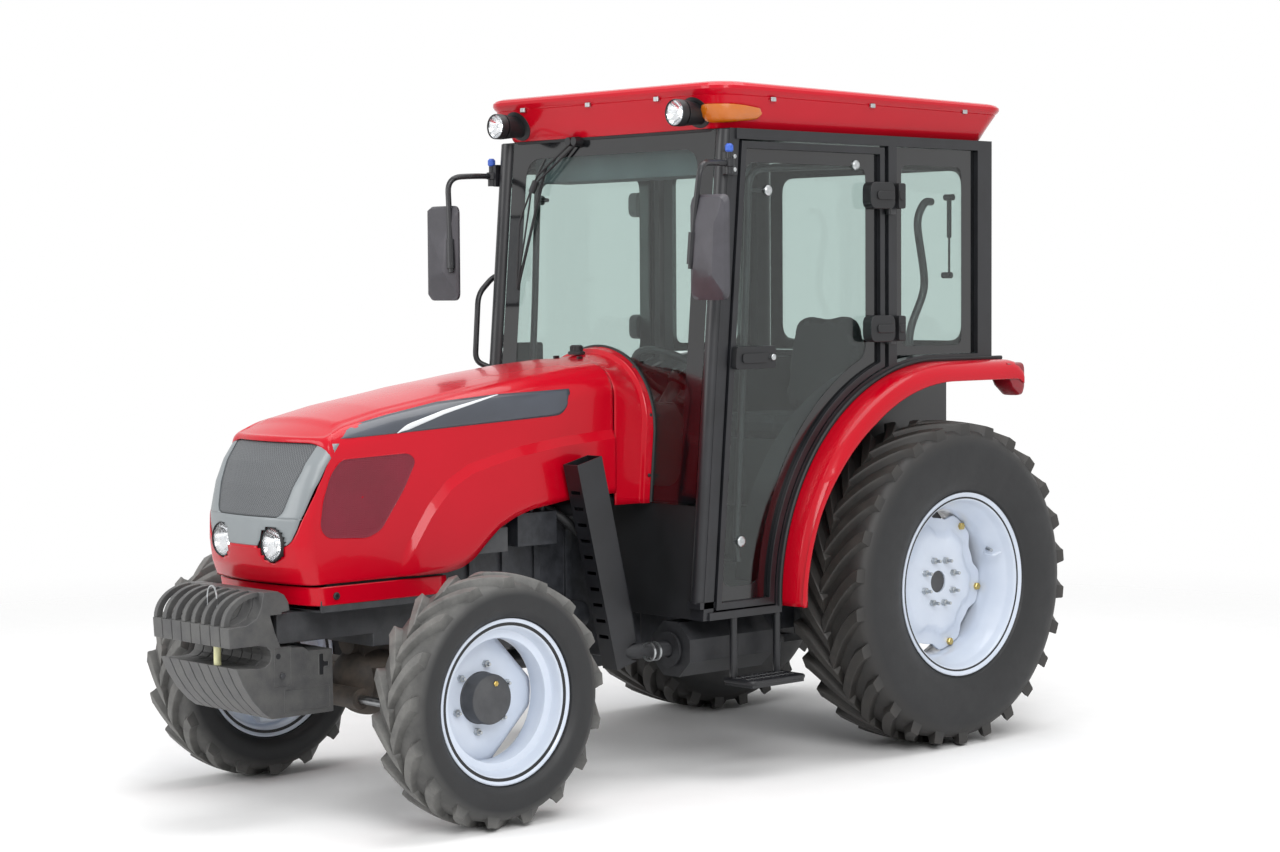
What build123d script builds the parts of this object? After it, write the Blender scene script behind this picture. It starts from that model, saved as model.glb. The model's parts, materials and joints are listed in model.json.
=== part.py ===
from build123d import *
from math import atan2, cos, pi, radians, sin, sqrt
import os

# Farm tractor with a cab, in millimetres. +Z is up, the front faces -Y, the tractor's left is +X.
# The origin lies on the ground, in the middle of the overall length and width.

# Overall layout, front to rear
front_overhang = 680.0          # front axle to the face of the weights
wheelbase = 2115.0
rear_overhang = 900.0           # rear axle to the end of the lower links
length = front_overhang + wheelbase + rear_overhang
y_face = -length / 2
y_front = y_face + front_overhang
y_rear = y_front + wheelbase

# Clearances
seam = 6.0                      # gap between a moving panel and what is beside it
fit = 0.05                      # radial clearance of a shaft in its bore
seat = 0.3                      # gap where one body rests on another

# Rear wheels
rear_radius = 587.0             # out to the lug tips, and the hub's height
rear_section = 345.0
rear_rim_width = 305.0
rear_flange_radius = 330.5
rear_rim_face = 744.0           # outer rim flange from the middle plane
rear_lug_height = 30.0
rear_lug_count = 26             # on each side of the tread
rear_lug_first = 61.7           # degrees from the rear, of one lug's outer end
rear_lug_lead = 0.33            # radians that a lug's inner end lies ahead of its outer end
rear_lug_width = 36.0
shoulder_share = 0.93           # share of the half section where the tread meets the side wall
lug_root = 8.0                  # a lug's foot is this much wider to each side than its top
lug_sink = 9.0                  # depth of the lugs' feet inside the carcass
lug_shoulder_drop = 9.0         # a lug is this much lower at the shoulder
rim_seat_drop = 24.0            # bead seat below the flange's edge
rim_slope = 4.0
bead_width = 20.0
tyre_wall = 24.0
rear_rim_wall = 6.0
rear_disc_depth = 140.0         # wheel disc behind the outer rim flange
rear_disc_thickness = 12.0
rear_lobes = 6                  # lobes of the disc, bolted to the rim
rear_lobe_first = 22.0          # degrees from the rear, of the first hollow between two lobes
rear_lobe_valley = 232.0        # the disc's radius in the hollows
rear_lobe_gap = 62.0            # half width of a hollow
rear_nut_circle = 83.0
rear_nut_count = 8
rear_nut_first = 22.5
nut_radius = 11.0
nut_length = 22.0
rear_bore_radius = 52.0
rear_flange_hub_radius = 118.0
axle_shaft_radius = 45.0

# Front wheels
front_radius = 394.0
front_section = 212.0
front_rim_width = 165.0
front_flange_radius = 257.0
front_rim_face = 705.0
front_lug_height = 24.0
front_lug_count = 17
front_lug_first = 26.2
front_lug_lead = 0.36
front_lug_width = 32.0
front_rim_wall = 5.0
front_disc_depth = 128.0
front_disc_radius = 213.0       # out to the rim's wall at the disc's depth
front_disc_flat = 178.0         # the disc's four flats from its middle
front_disc_thickness = 9.0
front_hub_radius = 82.0
front_nut_circle = 108.0
front_nut_count = 6
front_nut_first = 20.0
front_hub_nose = 58.0           # hub cap in front of the wheel disc
kingpin_x = 452.0
kingpin_radius = 26.0

# Front axle and steering
axle_beam_height = 96.0
axle_beam_width = 110.0
axle_beam_end = 372.0
differential_radius = 118.0
steer_arm = 140.0               # kingpin to the tie rod's pin, ahead of the axle
steer_arm_thickness = 22.0
steer_rod_radius = 14.0
steer_cylinder_radius = 34.0
steer_cylinder_half = 150.0
steer_eye_gap = 5.0             # the rod's open eye lies this far over the arm
steer_eye_half = 18.0
pinion_nose = 150.0             # front differential's nose behind the axle

# Front frame and weights
frame_half = 170.0
frame_rail = 46.0
frame_top = 662.0
frame_bottom = 566.0
frame_rear_ahead = 1960.0       # where the rails meet the engine, ahead of the rear axle
bolster_half = 105.0
pivot_rise = 130.0              # axle pivot over the axle's middle
pivot_radius = 44.0
weight_count = 8
weight_pitch = 50.0
weight_gap = 3.0
weight_top = 738.0
weight_bottom = 342.0
weight_depth = 400.0
weight_hook = 224.0             # depth of the part over the carrier bar
weight_rib = 20.0               # width of the curved rib on each weight
weight_pocket = 158.0           # how far back the pocket beside the rib reaches
weight_pocket_low = 642.0
carrier_depth = 46.0

# Engine and driveline
engine_half = 190.0
engine_bottom = 470.0
transfer_bottom = 340.0
engine_top = 1010.0
head_height = 70.0
engine_rear_ahead = 1270.0
clutch_half = 200.0
clutch_top = 800.0
gearbox_half = 150.0
gearbox_bottom = 400.0
gearbox_top = 600.0
clutch_length = 190.0
rear_case_half = 190.0
rear_case_ahead = 260.0
rear_case_behind = 230.0
rear_case_bottom = 400.0
rear_case_top = 790.0
trumpet_radius = 88.0
trumpet_end = 520.0
shaft_guard_radius = 36.0
shaft_guard_height = 440.0

# Hood
hood_wall = 7.0
hood_seam_ahead = 1286.0        # rear edge of the hood, ahead of the rear axle
hood_bottom = 750.0
nose_top_ahead = 2490.0         # middle of the nose at the height nose_top
nose_top = 1191.0
nose_bottom_ahead = 2571.0      # middle of the nose at hood_bottom
nose_corner = 264.0
nose_bow = 50.0                 # the nose's corners lie this far behind its middle
hood_front_half = 272.0
hood_rear_half = 286.0
hood_middle_ahead = 1884.0
hood_middle_top = 1342.0
hood_rear_top = 1412.0
hood_front_shoulder = 42.0
hood_middle_shoulder = 80.0
hood_rear_shoulder = 105.0
hood_crown = 14.0
arch_front_ahead = 2000.0       # where the wheel arch leaves the hood's lower edge
arch_top = 962.0
arch_top_ahead = 1480.0
hinge_behind = 50.0             # hood hinge behind the hood's rear edge
hinge_below = 14.0              # and this far under the top of the seam
hinge_pin = 6.0
hinge_fit = 0.25                # radial clearance in the hood's hinge arms
hinge_arm_x = 48.0
hinge_arm = 8.0                 # thickness of the hood's hinge arms
hinge_drop = 50.0               # how far the arms reach down round the cowl's edge
screen_depth = 4.0
flare_depth = 16.0              # how far the flare over the wheel stands out
flare_bevel = 28.0

# Grille and lamps
grille_half = 250.0
grille_top = 1180.0
grille_bottom = 868.0
grille_depth = 26.0
insert_half = 216.0             # mesh insert inside the surround
insert_bottom = 954.0
insert_depth = 7.0
headlamp_x = 135.0
headlamp_z = 873.0
headlamp_radius = 54.0
headlamp_depth = 40.0
fascia_bottom = 684.0
fascia_gap = 7.0
fascia_set_back = 22.0

# Cowl between the hood and the windscreen
cowl_bottom = 925.0
cowl_wall = 7.0
cowl_flange = 14.0
cowl_top = 1458.0
cowl_half = 308.0

# Cab
cab_half = 600.0
screen_top_ahead = 1026.0
screen_top = 2192.0
screen_foot_ahead = hood_seam_ahead - 126.0
screen_foot = 600.0
screen_half = 505.0
glass = 6.0
pillar_width = 62.0
pillar_depth = 46.0
cab_floor = 640.0
cab_floor_thickness = 20.0
sill_bottom = 545.0
sill_height = 26.0
door_bottom = 577.0
door_thickness = 36.0
door_frame = 24.0
door_rear_ahead = 262.0
door_top = 2150.0
door_arch_gap = 30.0            # between the fender's arc and the door's arc
b_pillar_ahead = 242.0
b_pillar_width = 44.0
c_pillar_behind = 250.0
cab_rear_behind = 330.0
cab_rail = 46.0
hinge_offset = 12.0             # hinge axis outside the door's face
hinge_radius = 9.0
door_pin = 4.0
hinge_height = 46.0
hinge_low = 1500.0
hinge_high = 1960.0

# Fenders
fender_radius = 800.0
fender_outer = 712.0
fender_drop = 58.0
fender_wall = 6.0
fender_rear_behind = 390.0
wheel_house_inner = 375.0

# Roof: a cap that widens upwards
roof_bottom = 2192.0
roof_height = 156.0
roof_front_ahead = 1034.0       # at the lower edge
roof_rear_behind = 342.0
roof_half = 566.0
roof_flare = 74.0               # how far the upper edge stands out
roof_wall = 8.0
roof_corner = 80.0
roof_edge = 30.0
liner_thickness = 20.0
console_height = 150.0
console_depth = 170.0

# Exhaust and steps
guard_inner = 318.0
guard_width = 72.0
guard_depth = 112.0
guard_wall = 4.0
guard_top = 1090.0
guard_top_ahead = 1487.0
guard_foot = 395.0
guard_foot_ahead = 1315.0
guard_slots = 10
guard_slot_pitch = 56.0
guard_slot_first = 90.0         # from the guard's top to its first slot
guard_slot_width = 46.0
guard_slot_height = 13.0
manifold_z = 925.0
pipe_radius = 27.0
muffler_radius = 92.0
muffler_front_ahead = 1160.0
muffler_length = 400.0
muffler_x = 430.0
muffler_z = 437.0
step_z = 338.0
step_outer = 690.0
step_inner = 560.0
step_front_ahead = fender_radius + 230.0
step_length = 250.0
step_tube = 13.0
step_plate = 24.0

# Seat and controls
platform_height = 850.0
platform_ahead = 360.0
seat_top = 1190.0
seat_half = 240.0
seat_front_ahead = 400.0
seat_depth = 440.0
cushion_height = 90.0
back_height = 390.0
back_corner = 100.0
back_depth = 90.0
wheel_ring = 190.0
wheel_rim = 13.0
wheel_ahead = screen_foot_ahead - 460.0
wheel_z = 1330.0
wheel_tilt = 38.0               # degrees from upright
column_radius = 26.0
dash_half = 240.0
dash_depth = 250.0
dash_top = 1260.0

# Mirrors and lamps
mirror_x = 712.0
mirror_ahead = 1250.0
mirror_z = 1790.0
mirror_width = 170.0
mirror_height = 345.0
mirror_depth = 46.0
mirror_arm = 11.0
mirror_foot_z = 2074.0
lamp_radius = 45.0
lamp_x = 467.0
lamp_z = 2243.0
lamp_front_ahead = 1163.0
signal_length = 120.0
signal_height = 62.0

# Three-point hitch, power take-off and drawbar
lift_case_half = 130.0
lift_case_bottom = 640.0
lift_case_top = 815.0
lift_case_behind = 335.0
rock_behind = 285.0
rock_z = 742.0
rock_radius = 30.0
arm_length = 240.0
arm_thickness = 24.0
arm_height = 56.0
arm_rise = 14.0                 # degrees above level, at rest
link_pivot_behind = 60.0
link_pivot_z = 420.0
link_pin = 14.0
link_x = 215.0
link_thickness = 22.0
link_height = 62.0
link_attach = 440.0             # from the link's pivot to the lift rod
ball_radius = 45.0
ball_bore = 14.35
lift_rod_x = 250.0
lift_rod_radius = 15.0
rod_pin = 12.0
top_pivot_behind = 385.0
top_pivot_z = 790.0
top_link_length = 420.0
top_link_radius = 17.0
top_eye_radius = 32.0
top_pin = 12.0
top_bore = 12.85
top_link_lean = 8.0             # degrees from upright where it is parked
pto_z = 548.0
pto_radius = 17.45
pto_journal = 25.0
pto_collar = 8.0
pto_out = 90.0
pto_in = 60.0
drawbar_half = 38.0
drawbar_thickness = 32.0
drawbar_end_behind = 720.0
drawbar_front_ahead = 200.0
drawbar_z = 345.0
drawbar_hole = 16.5


def block(x0, x1, y0, y1, z0, z1):
    """Plain block between two corners."""
    size = Box(abs(x1 - x0), abs(y1 - y0), abs(z1 - z0))
    return Pos((x0 + x1) / 2, (y0 + y1) / 2, (z0 + z1) / 2) * size


def rod_x(radius, x0, x1, y, z):
    """Cylinder along X."""
    return Pos((x0 + x1) / 2, y, z) * Rot(0, 90, 0) * Cylinder(radius, abs(x1 - x0))


def rod_y(radius, y0, y1, x, z):
    """Cylinder along Y."""
    return Pos(x, (y0 + y1) / 2, z) * Rot(90, 0, 0) * Cylinder(radius, abs(y1 - y0))


def rod_z(radius, z0, z1, x, y):
    """Cylinder along Z."""
    return Pos(x, y, (z0 + z1) / 2) * Cylinder(radius, abs(z1 - z0))


def bar(start, end, width, depth, side=(1, 0, 0)):
    """Straight rectangular bar from start to end; width lies along side."""
    a, b = Vector(*start), Vector(*end)
    run = b - a
    face = Plane(origin=a, x_dir=Vector(*side), z_dir=run.normalized())
    return extrude(face * Rectangle(width, depth), run.length)


def tube(start, end, radius):
    """Straight round bar from start to end."""
    a, b = Vector(*start), Vector(*end)
    run = b - a
    return extrude(Plane(origin=a, z_dir=run.normalized()) * Circle(radius), run.length)


def side_profile(points, x0, x1):
    """Extrudes a (y, z) outline from x0 to x1."""
    face = make_face(Polyline([(0, y, z) for y, z in points], close=True))
    return extrude(Pos(x0, 0, 0) * face, x1 - x0, dir=(1, 0, 0))


def both(part):
    """The part and its mirror image, left and right."""
    return part, mirror(part, about=Plane.YZ)


def turned(points, x_mid, y, z):
    """Solid of revolution about an X axis from (x, radius) points."""
    outline = make_face(Polyline([(x, r, 0) for x, r in points], close=True))
    return Pos(x_mid, y, z) * revolve(outline, axis=Axis.X)


def save(node, part):
    """Writes one node's STEP file."""
    export_step(part, f"parts/{node}.step")


def tyre_outline(section, rim_width, flange_radius, tread, rim_wall):
    """Section of a tyre's carcass, seated on its rim, as (x, radius) points."""
    half = section / 2
    bead = rim_width / 2 - rim_wall - rim_slope - seat
    bead_radius = flange_radius - rim_seat_drop + seat
    middle = (bead_radius + tread) / 2
    outer = [(bead, bead_radius), (bead, flange_radius + 2), (half, middle + 14), (half * shoulder_share, tread)]
    inner = [(bead - tyre_wall, tread - tyre_wall)]
    ring = outer + [(-x, r) for x, r in reversed(outer)]
    return ring + [(-x, r) for x, r in inner] + inner


def faceted_ring(outline, sides, x_mid, y, z):
    """Ring with flat facets: an (x, radius) outline carried round; each radius is a facet's middle."""
    grow = 1 / cos(pi / sides)
    rings = []
    for k in range(sides):
        angle = 2 * pi * k / sides
        rings.append([(x_mid + x, y + r * grow * cos(angle), z + r * grow * sin(angle)) for x, r in outline])
    faces = []
    for here, there in zip(rings, rings[1:] + rings[:1]):
        for i in range(len(outline)):
            corners = [here[i - 1], here[i], there[i], there[i - 1]]
            faces.append(Face(Wire.make_polygon([Vector(*c) for c in corners], close=True)))
    return Solid(Shell(faces))


def tyre_lug(x_mid, y, z, hand, angle, half, tread, tip, lead, root, width):
    """One slanted lug from the tyre's middle to its shoulder; its foot is sunk into the carcass."""
    corners = []
    for x, turn, high in ((0.0, lead, tip), (half, 0.0, tip - lug_shoulder_drop)):
        for r in (tread - lug_sink, high):
            spread = (width / 2 if r == high else width / 2 + root) / r
            for part in (-spread, spread):
                a = angle + turn + part
                corners.append(Vector(x_mid + hand * x, y + r * cos(a), z + r * sin(a)))
    sides = [(0, 1, 3, 2), (4, 6, 7, 5), (0, 4, 5, 1), (2, 3, 7, 6), (0, 2, 6, 4), (1, 5, 7, 3)]
    faces = []
    for a, b, c, d in sides:
        for triangle in ((a, b, c), (a, c, d)):
            faces.append(Face(Wire.make_polygon([corners[i] for i in triangle], close=True)))
    return Solid(Shell(faces))


def tyre(x_mid, y, radius, section, rim_width, flange_radius, lug_height, rim_wall, count, first, lead, width):
    """Tyre on its rim with its lugs, which alternate left and right of the middle."""
    tread = radius - lug_height
    body = faceted_ring(tyre_outline(section, rim_width, flange_radius, tread, rim_wall), count, x_mid, y, radius)
    lugs = []
    for k in range(2 * count):
        hand = 1 if k % 2 == 0 else -1
        angle = radians(first) + pi * k / count
        lugs.append(tyre_lug(x_mid, y, radius, hand, angle, section / 2 * shoulder_share, tread, radius, lead,
                             lug_root, width))
    return body.fuse(*lugs)


def rim_profile(rim_width, flange_radius, wall):
    """Section of a rim: two flanges, two bead seats and the well, as (x, radius) points."""
    half = rim_width / 2
    seat_radius = flange_radius - rim_seat_drop
    well = flange_radius - 62
    top = [(-half, flange_radius), (-half + wall, flange_radius), (-half + wall + rim_slope, seat_radius),
           (-half + wall + rim_slope + bead_width, seat_radius), (-half * 0.3, well), (half * 0.3, well),
           (half - wall - rim_slope - bead_width, seat_radius), (half - wall - rim_slope, seat_radius), (half - wall, flange_radius),
           (half, flange_radius)]
    under = [(half, flange_radius - wall), (half - rim_slope, seat_radius - wall), (half - rim_slope - bead_width, seat_radius - wall),
             (half * 0.36, well - wall), (-half * 0.36, well - wall), (-half + rim_slope + bead_width, seat_radius - wall),
             (-half + rim_slope, seat_radius - wall), (-half, flange_radius - wall)]
    return top + under


def wheel_nuts(x, y, z, circle, count, first):
    """Ring of wheel nuts that stand on a disc's outer face at x."""
    nuts = []
    for k in range(count):
        angle = radians(first + 360 * k / count)
        centre = Plane(origin=(x - 1, y + circle * cos(angle), z + circle * sin(angle)), z_dir=(1, 0, 0))
        nuts.append(extrude(centre * RegularPolygon(nut_radius, 6), nut_length))
    return nuts


def rear_rim():
    """Left rear rim with its disc."""
    middle = rear_rim_face - rear_rim_width / 2
    ring = turned(rim_profile(rear_rim_width, rear_flange_radius, rear_rim_wall), middle, y_rear, rear_radius)
    outer = rear_rim_face - rear_disc_depth
    disc = rod_x(rear_flange_radius - 64, outer - rear_disc_thickness, outer, y_rear, rear_radius)
    for k in range(rear_lobes):
        hollow = block(-rear_disc_thickness, rear_disc_thickness, rear_lobe_valley, rear_flange_radius,
                       -rear_lobe_gap, rear_lobe_gap)
        angle = rear_lobe_first + 360 * k / rear_lobes
        disc = disc - Pos(outer - rear_disc_thickness / 2, y_rear, rear_radius) * Rot(angle, 0, 0) * hollow
    disc = disc + wheel_nuts(outer, y_rear, rear_radius, rear_nut_circle, rear_nut_count, rear_nut_first)
    bore = rod_x(rear_bore_radius, outer - 60, outer + 60, y_rear, rear_radius)
    return ring + disc - bore


def rear_tyre():
    """Left rear tyre."""
    middle = rear_rim_face - rear_rim_width / 2
    return tyre(middle, y_rear, rear_radius, rear_section, rear_rim_width, rear_flange_radius, rear_lug_height,
                rear_rim_wall, rear_lug_count, rear_lug_first, rear_lug_lead, rear_lug_width)


def rear_hub():
    """Left axle shaft with the flange that carries the wheel disc."""
    face = rear_rim_face - rear_disc_depth - rear_disc_thickness
    flange = rod_x(rear_flange_hub_radius, face - 22, face, y_rear, rear_radius)
    shaft = rod_x(axle_shaft_radius, trumpet_end - 150, face, y_rear, rear_radius)
    return flange + shaft


def front_rim():
    """Left front rim with its disc."""
    middle = front_rim_face - front_rim_width / 2
    ring = turned(rim_profile(front_rim_width, front_flange_radius, front_rim_wall), middle, y_front, front_radius)
    outer = front_rim_face - front_disc_depth
    disc = rod_x(front_disc_radius, outer - front_disc_thickness, outer, y_front, front_radius)
    square = Box(4 * front_disc_thickness, 2 * front_disc_flat, 2 * front_disc_flat)
    disc = disc & (Pos(outer, y_front, front_radius) * Rot(45, 0, 0) * square)
    disc = disc + wheel_nuts(outer, y_front, front_radius, front_nut_circle, front_nut_count, front_nut_first)
    bore = rod_x(front_hub_radius + 1, outer - 60, outer + 60, y_front, front_radius)
    return ring + disc - bore


def front_tyre():
    """Left front tyre."""
    middle = front_rim_face - front_rim_width / 2
    return tyre(middle, y_front, front_radius, front_section, front_rim_width, front_flange_radius,
                front_lug_height, front_rim_wall, front_lug_count, front_lug_first, front_lug_lead,
                front_lug_width)


def front_hub():
    """Left planetary hub: flange behind the disc, cap through its bore, stub in the knuckle."""
    outer = front_rim_face - front_disc_depth
    inner = outer - front_disc_thickness
    cap = rod_x(front_hub_radius, inner, outer + front_hub_nose, y_front, front_radius)
    flange = rod_x(front_hub_radius + 42, inner - 26, inner, y_front, front_radius)
    stub = rod_x(38, kingpin_x + 44, inner, y_front, front_radius)
    return cap + flange + stub


def knuckle():
    """Left steering knuckle: two ears on the kingpin, the hub carrier and the arm to the tie rod."""
    z0 = front_radius - axle_beam_height / 2 - 34
    z1 = front_radius + axle_beam_height / 2 + 34
    ears = rod_z(46, z0, z0 + 28, kingpin_x, y_front) + rod_z(46, z1 - 28, z1, kingpin_x, y_front)
    back = block(kingpin_x + 28, kingpin_x + 58, y_front - 46, y_front + 46, z0, z1)
    carrier = rod_x(66, kingpin_x + 30, kingpin_x + 84, y_front, front_radius)
    bore = rod_x(38 + fit, kingpin_x + 44, kingpin_x + 100, y_front, front_radius)
    pin_bore = rod_z(kingpin_radius + fit, z0 - 5, z1 + 5, kingpin_x, y_front)
    arm = block(kingpin_x - 26, kingpin_x + 40, y_front - steer_arm, y_front - 20, z0, z0 + steer_arm_thickness)
    arm = arm + rod_z(30, z0, z0 + steer_arm_thickness, kingpin_x, y_front - steer_arm)
    hollow = rod_z(49, z0 + 28, z1 - 28, kingpin_x, y_front)
    return ears + (back + carrier - bore - hollow) + arm - pin_bore


def steer_height():
    """Height of the tie rod's axis."""
    arm_top = front_radius - axle_beam_height / 2 - 34 + steer_arm_thickness
    return arm_top + steer_eye_gap + steer_eye_half


def front_axle():
    """Axle beam with its differential, kingpins and the steering cylinder's tube."""
    beam = block(-axle_beam_end, axle_beam_end, y_front - axle_beam_width / 2, y_front + axle_beam_width / 2,
                 front_radius - axle_beam_height / 2, front_radius + axle_beam_height / 2)
    ball = Pos(0, y_front, front_radius) * Sphere(differential_radius)
    ends = None
    for side in (-1, 1):
        z0 = front_radius - axle_beam_height / 2
        z1 = front_radius + axle_beam_height / 2
        end = block(side * axle_beam_end, side * kingpin_x, y_front - 38, y_front + 38, z0 + 6, z1 - 6)
        end = end + rod_z(38, z0 + 6, z1 - 6, side * kingpin_x, y_front)
        end = end + rod_z(kingpin_radius, z0 - 30, z1 + 30, side * kingpin_x, y_front)
        ends = end if ends is None else ends + end
    z = steer_height()
    y = y_front - steer_arm
    cylinder = rod_x(steer_cylinder_radius, -steer_cylinder_half, steer_cylinder_half, y, z)
    lug = block(-60, 60, y, y_front - axle_beam_width / 2 + 10, z - 10, z + 24)
    bore = rod_x(steer_rod_radius + fit, -steer_cylinder_half - 5, steer_cylinder_half + 5, y, z)
    z_pivot = front_radius + pivot_rise
    pivot = rod_y(pivot_radius, y_front - bolster_half + 20, y_front + bolster_half - 20, 0, z_pivot)
    neck = block(-60, 60, y_front - 60, y_front + 60, front_radius, z_pivot)
    nose = rod_y(shaft_guard_radius + 12, y_front, y_front + pinion_nose, 0, front_radius)
    return beam + ball + ends + neck + pivot + nose + (cylinder + lug - bore)


def steering_rod():
    """Tie rod through the steering cylinder, with a flat eye over each knuckle's arm."""
    z = steer_height()
    y = y_front - steer_arm
    body = rod_x(steer_rod_radius, -kingpin_x, kingpin_x, y, z)
    eyes = None
    for side in (-1, 1):
        eye = rod_z(26, z - steer_eye_half, z + steer_eye_half, side * kingpin_x, y)
        eyes = eye if eyes is None else eyes + eye
    return body + eyes


def front_frame():
    """Cast front frame: two rails, the bolster over the axle and the bar that carries the weights."""
    y0 = y_face + weight_depth - 195
    y1 = y_rear - frame_rear_ahead
    left = block(frame_half - frame_rail, frame_half, y0, y1, frame_bottom, frame_top)
    right = mirror(left, about=Plane.YZ)
    front = block(-frame_half, frame_half, y0, y0 + carrier_depth, frame_bottom + 18, frame_top)
    rear = block(-frame_half, frame_half, y1 - 40, y1, frame_bottom - 60, frame_top)
    z_pivot = front_radius + pivot_rise
    bolster = block(-frame_half, frame_half, y_front - bolster_half, y_front + bolster_half, z_pivot, frame_top)
    bore = rod_y(pivot_radius + seat, y_front - bolster_half + 20 - seat, y_front + bolster_half - 20 + seat,
                 0, z_pivot)
    return left + right + front + rear + bolster - bore


def weight_outline():
    """Side outline of one suitcase weight, hooked over the carrier bar."""
    hook = y_face + weight_depth - 195
    return [(y_face, 580), (y_face, 640), (y_face + 40, 702), (y_face + 100, weight_top - 8),
            (y_face + 140, weight_top), (y_face + 195, weight_top - 8), (y_face + weight_hook, weight_top - 38),
            (y_face + weight_hook, frame_top), (hook, frame_top), (hook, frame_bottom),
            (y_face + weight_depth, frame_bottom), (y_face + weight_depth, weight_bottom),
            (y_face + 230, weight_bottom + 20), (y_face + 135, weight_bottom + 40),
            (y_face + 70, weight_bottom + 90), (y_face + 35, 510), (y_face + 50, 517), (y_face + 150, 517),
            (y_face + 178, 547), (y_face + 150, 577)]


def front_weights():
    """Eight suitcase weights side by side, each with a curved rib over a pocket in its upper part."""
    plates = []
    pocket = [(y_face - 5, weight_pocket_low), (y_face + 46, weight_pocket_low),
              (y_face + 90, weight_pocket_low + 46), (y_face + weight_pocket, weight_pocket_low + 58),
              (y_face + weight_pocket, weight_top + 10), (y_face - 5, weight_top + 10)]
    for index in range(weight_count):
        x = (index - weight_count / 2) * weight_pitch + weight_gap / 2
        plate = side_profile(weight_outline(), x, x + weight_pitch - weight_gap)
        plates.append(plate - side_profile(pocket, x + weight_rib, x + weight_pitch))
    return Compound(children=plates)


def engine():
    """The engine block with its sump, head cover, oil filter, injection pump and starter."""
    y0, y1 = y_rear - frame_rear_ahead, y_rear - engine_rear_ahead
    deck = engine_top - head_height
    body = block(-engine_half, engine_half, y0, y1, engine_bottom, deck)
    body = body + block(-engine_half + 50, engine_half - 50, y0 + 40, y1 - 60, deck, engine_top)
    for side in (-1, 1):
        for k in range(4):
            y = y0 + 110 + 140 * k
            rib = block(side * engine_half, side * (engine_half + 12), y, y + 26, engine_bottom + 60, engine_top - 120)
            body = body + rib
    filter_y = y0 + 170
    body = body + rod_x(52, engine_half - 20, engine_half + 60, filter_y, engine_bottom + 150)
    body = body + rod_y(46, y1 - 330, y1 - 110, engine_half + 30, engine_bottom + 90)
    pump = block(engine_half - 10, engine_half + 70, y0 + 270, y0 + 440, engine_top - 200, engine_top - 90)
    body = body + pump
    for k in range(3):
        body = body + rod_z(11, engine_top - 95, engine_top - 60, engine_half + 40, y0 + 300 + 50 * k)
    return body


def gearbox():
    """Clutch housing and gearbox between the engine and the rear case."""
    y0 = y_rear - engine_rear_ahead
    bell = block(-clutch_half, clutch_half, y0, y0 + clutch_length, gearbox_bottom, clutch_top - 180)
    box = block(-gearbox_half, gearbox_half, y0, y_rear - rear_case_ahead, gearbox_bottom, gearbox_top)
    transfer = block(-70, 70, y0, y0 + 240, transfer_bottom, gearbox_bottom + 20)
    return bell + box + transfer


def drive_shaft():
    """Guard tube of the front drive shaft."""
    return rod_y(shaft_guard_radius, y_front + pinion_nose, y_rear - engine_rear_ahead, 0, front_radius)


def rear_axle():
    """Rear case with the two trumpet housings."""
    case = block(-rear_case_half, rear_case_half, y_rear - rear_case_ahead, y_rear + rear_case_behind,
                 rear_case_bottom, rear_case_top)
    trumpets = rod_x(trumpet_radius, -trumpet_end, trumpet_end, y_rear, rear_radius)
    body = case + trumpets
    for side in (-1, 1):
        body = body - rod_x(axle_shaft_radius + fit, side * (trumpet_end - 150), side * (trumpet_end + 5),
                            y_rear, rear_radius)
    return body


def hood_section(ahead, half, top, shoulder, inset):
    """Cross-section of the hood, set in by inset, as a face in a plane of constant y."""
    y = y_rear - ahead
    w = half - inset
    crown = hood_crown
    r = max(shoulder - inset, 8.0)
    t = top - inset
    base = hood_bottom - 60
    side_top = t - crown - r
    bend = r * (1 - sqrt(0.5))
    outline = [
        Line((-w, y, base), (-w, y, side_top)),
        ThreePointArc((-w, y, side_top), (-w + bend, y, t - crown - bend), (-w + r, y, t - crown)),
        ThreePointArc((-w + r, y, t - crown), (0, y, t), (w - r, y, t - crown)),
        ThreePointArc((w - r, y, t - crown), (w - bend, y, t - crown - bend), (w, y, side_top)),
        Line((w, y, side_top), (w, y, base)),
        Line((w, y, base), (-w, y, base)),
    ]
    return make_face(outline)


def hood_loft(inset):
    """Long body of the hood through its cross-sections."""
    stations = [
        (nose_bottom_ahead + 60, hood_front_half - 6, nose_top - 34, hood_front_shoulder),
        (nose_top_ahead, hood_front_half, nose_top + 8, hood_front_shoulder),
        (hood_middle_ahead, (hood_front_half + hood_rear_half) / 2, hood_middle_top, hood_middle_shoulder),
        (hood_seam_ahead, hood_rear_half, hood_rear_top, hood_rear_shoulder),
    ]
    return loft([hood_section(a, h, t, s, inset) for a, h, t, s in stations])


def nose_tool(inset, low, high):
    """Space behind the bowed, leaning nose, between two heights."""
    lean = (nose_bottom_ahead - nose_top_ahead) / (nose_top - hood_bottom)
    y = y_rear - nose_top_ahead + lean * (high - nose_top) + inset
    half = hood_front_half + 60
    radius = (nose_corner ** 2 + nose_bow ** 2) / (2 * nose_bow)
    edge = radius - sqrt(radius ** 2 - half ** 2)
    plan = make_face([
        ThreePointArc((-half, y + edge, high), (0, y, high), (half, y + edge, high)),
        Line((half, y + edge, high), (half, y_rear, high)),
        Line((half, y_rear, high), (-half, y_rear, high)),
        Line((-half, y_rear, high), (-half, y + edge, high)),
    ])
    drop = high - low
    direction = Vector(0, -lean, -1)
    return extrude(plan, drop * direction.length, dir=direction.normalized())


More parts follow.
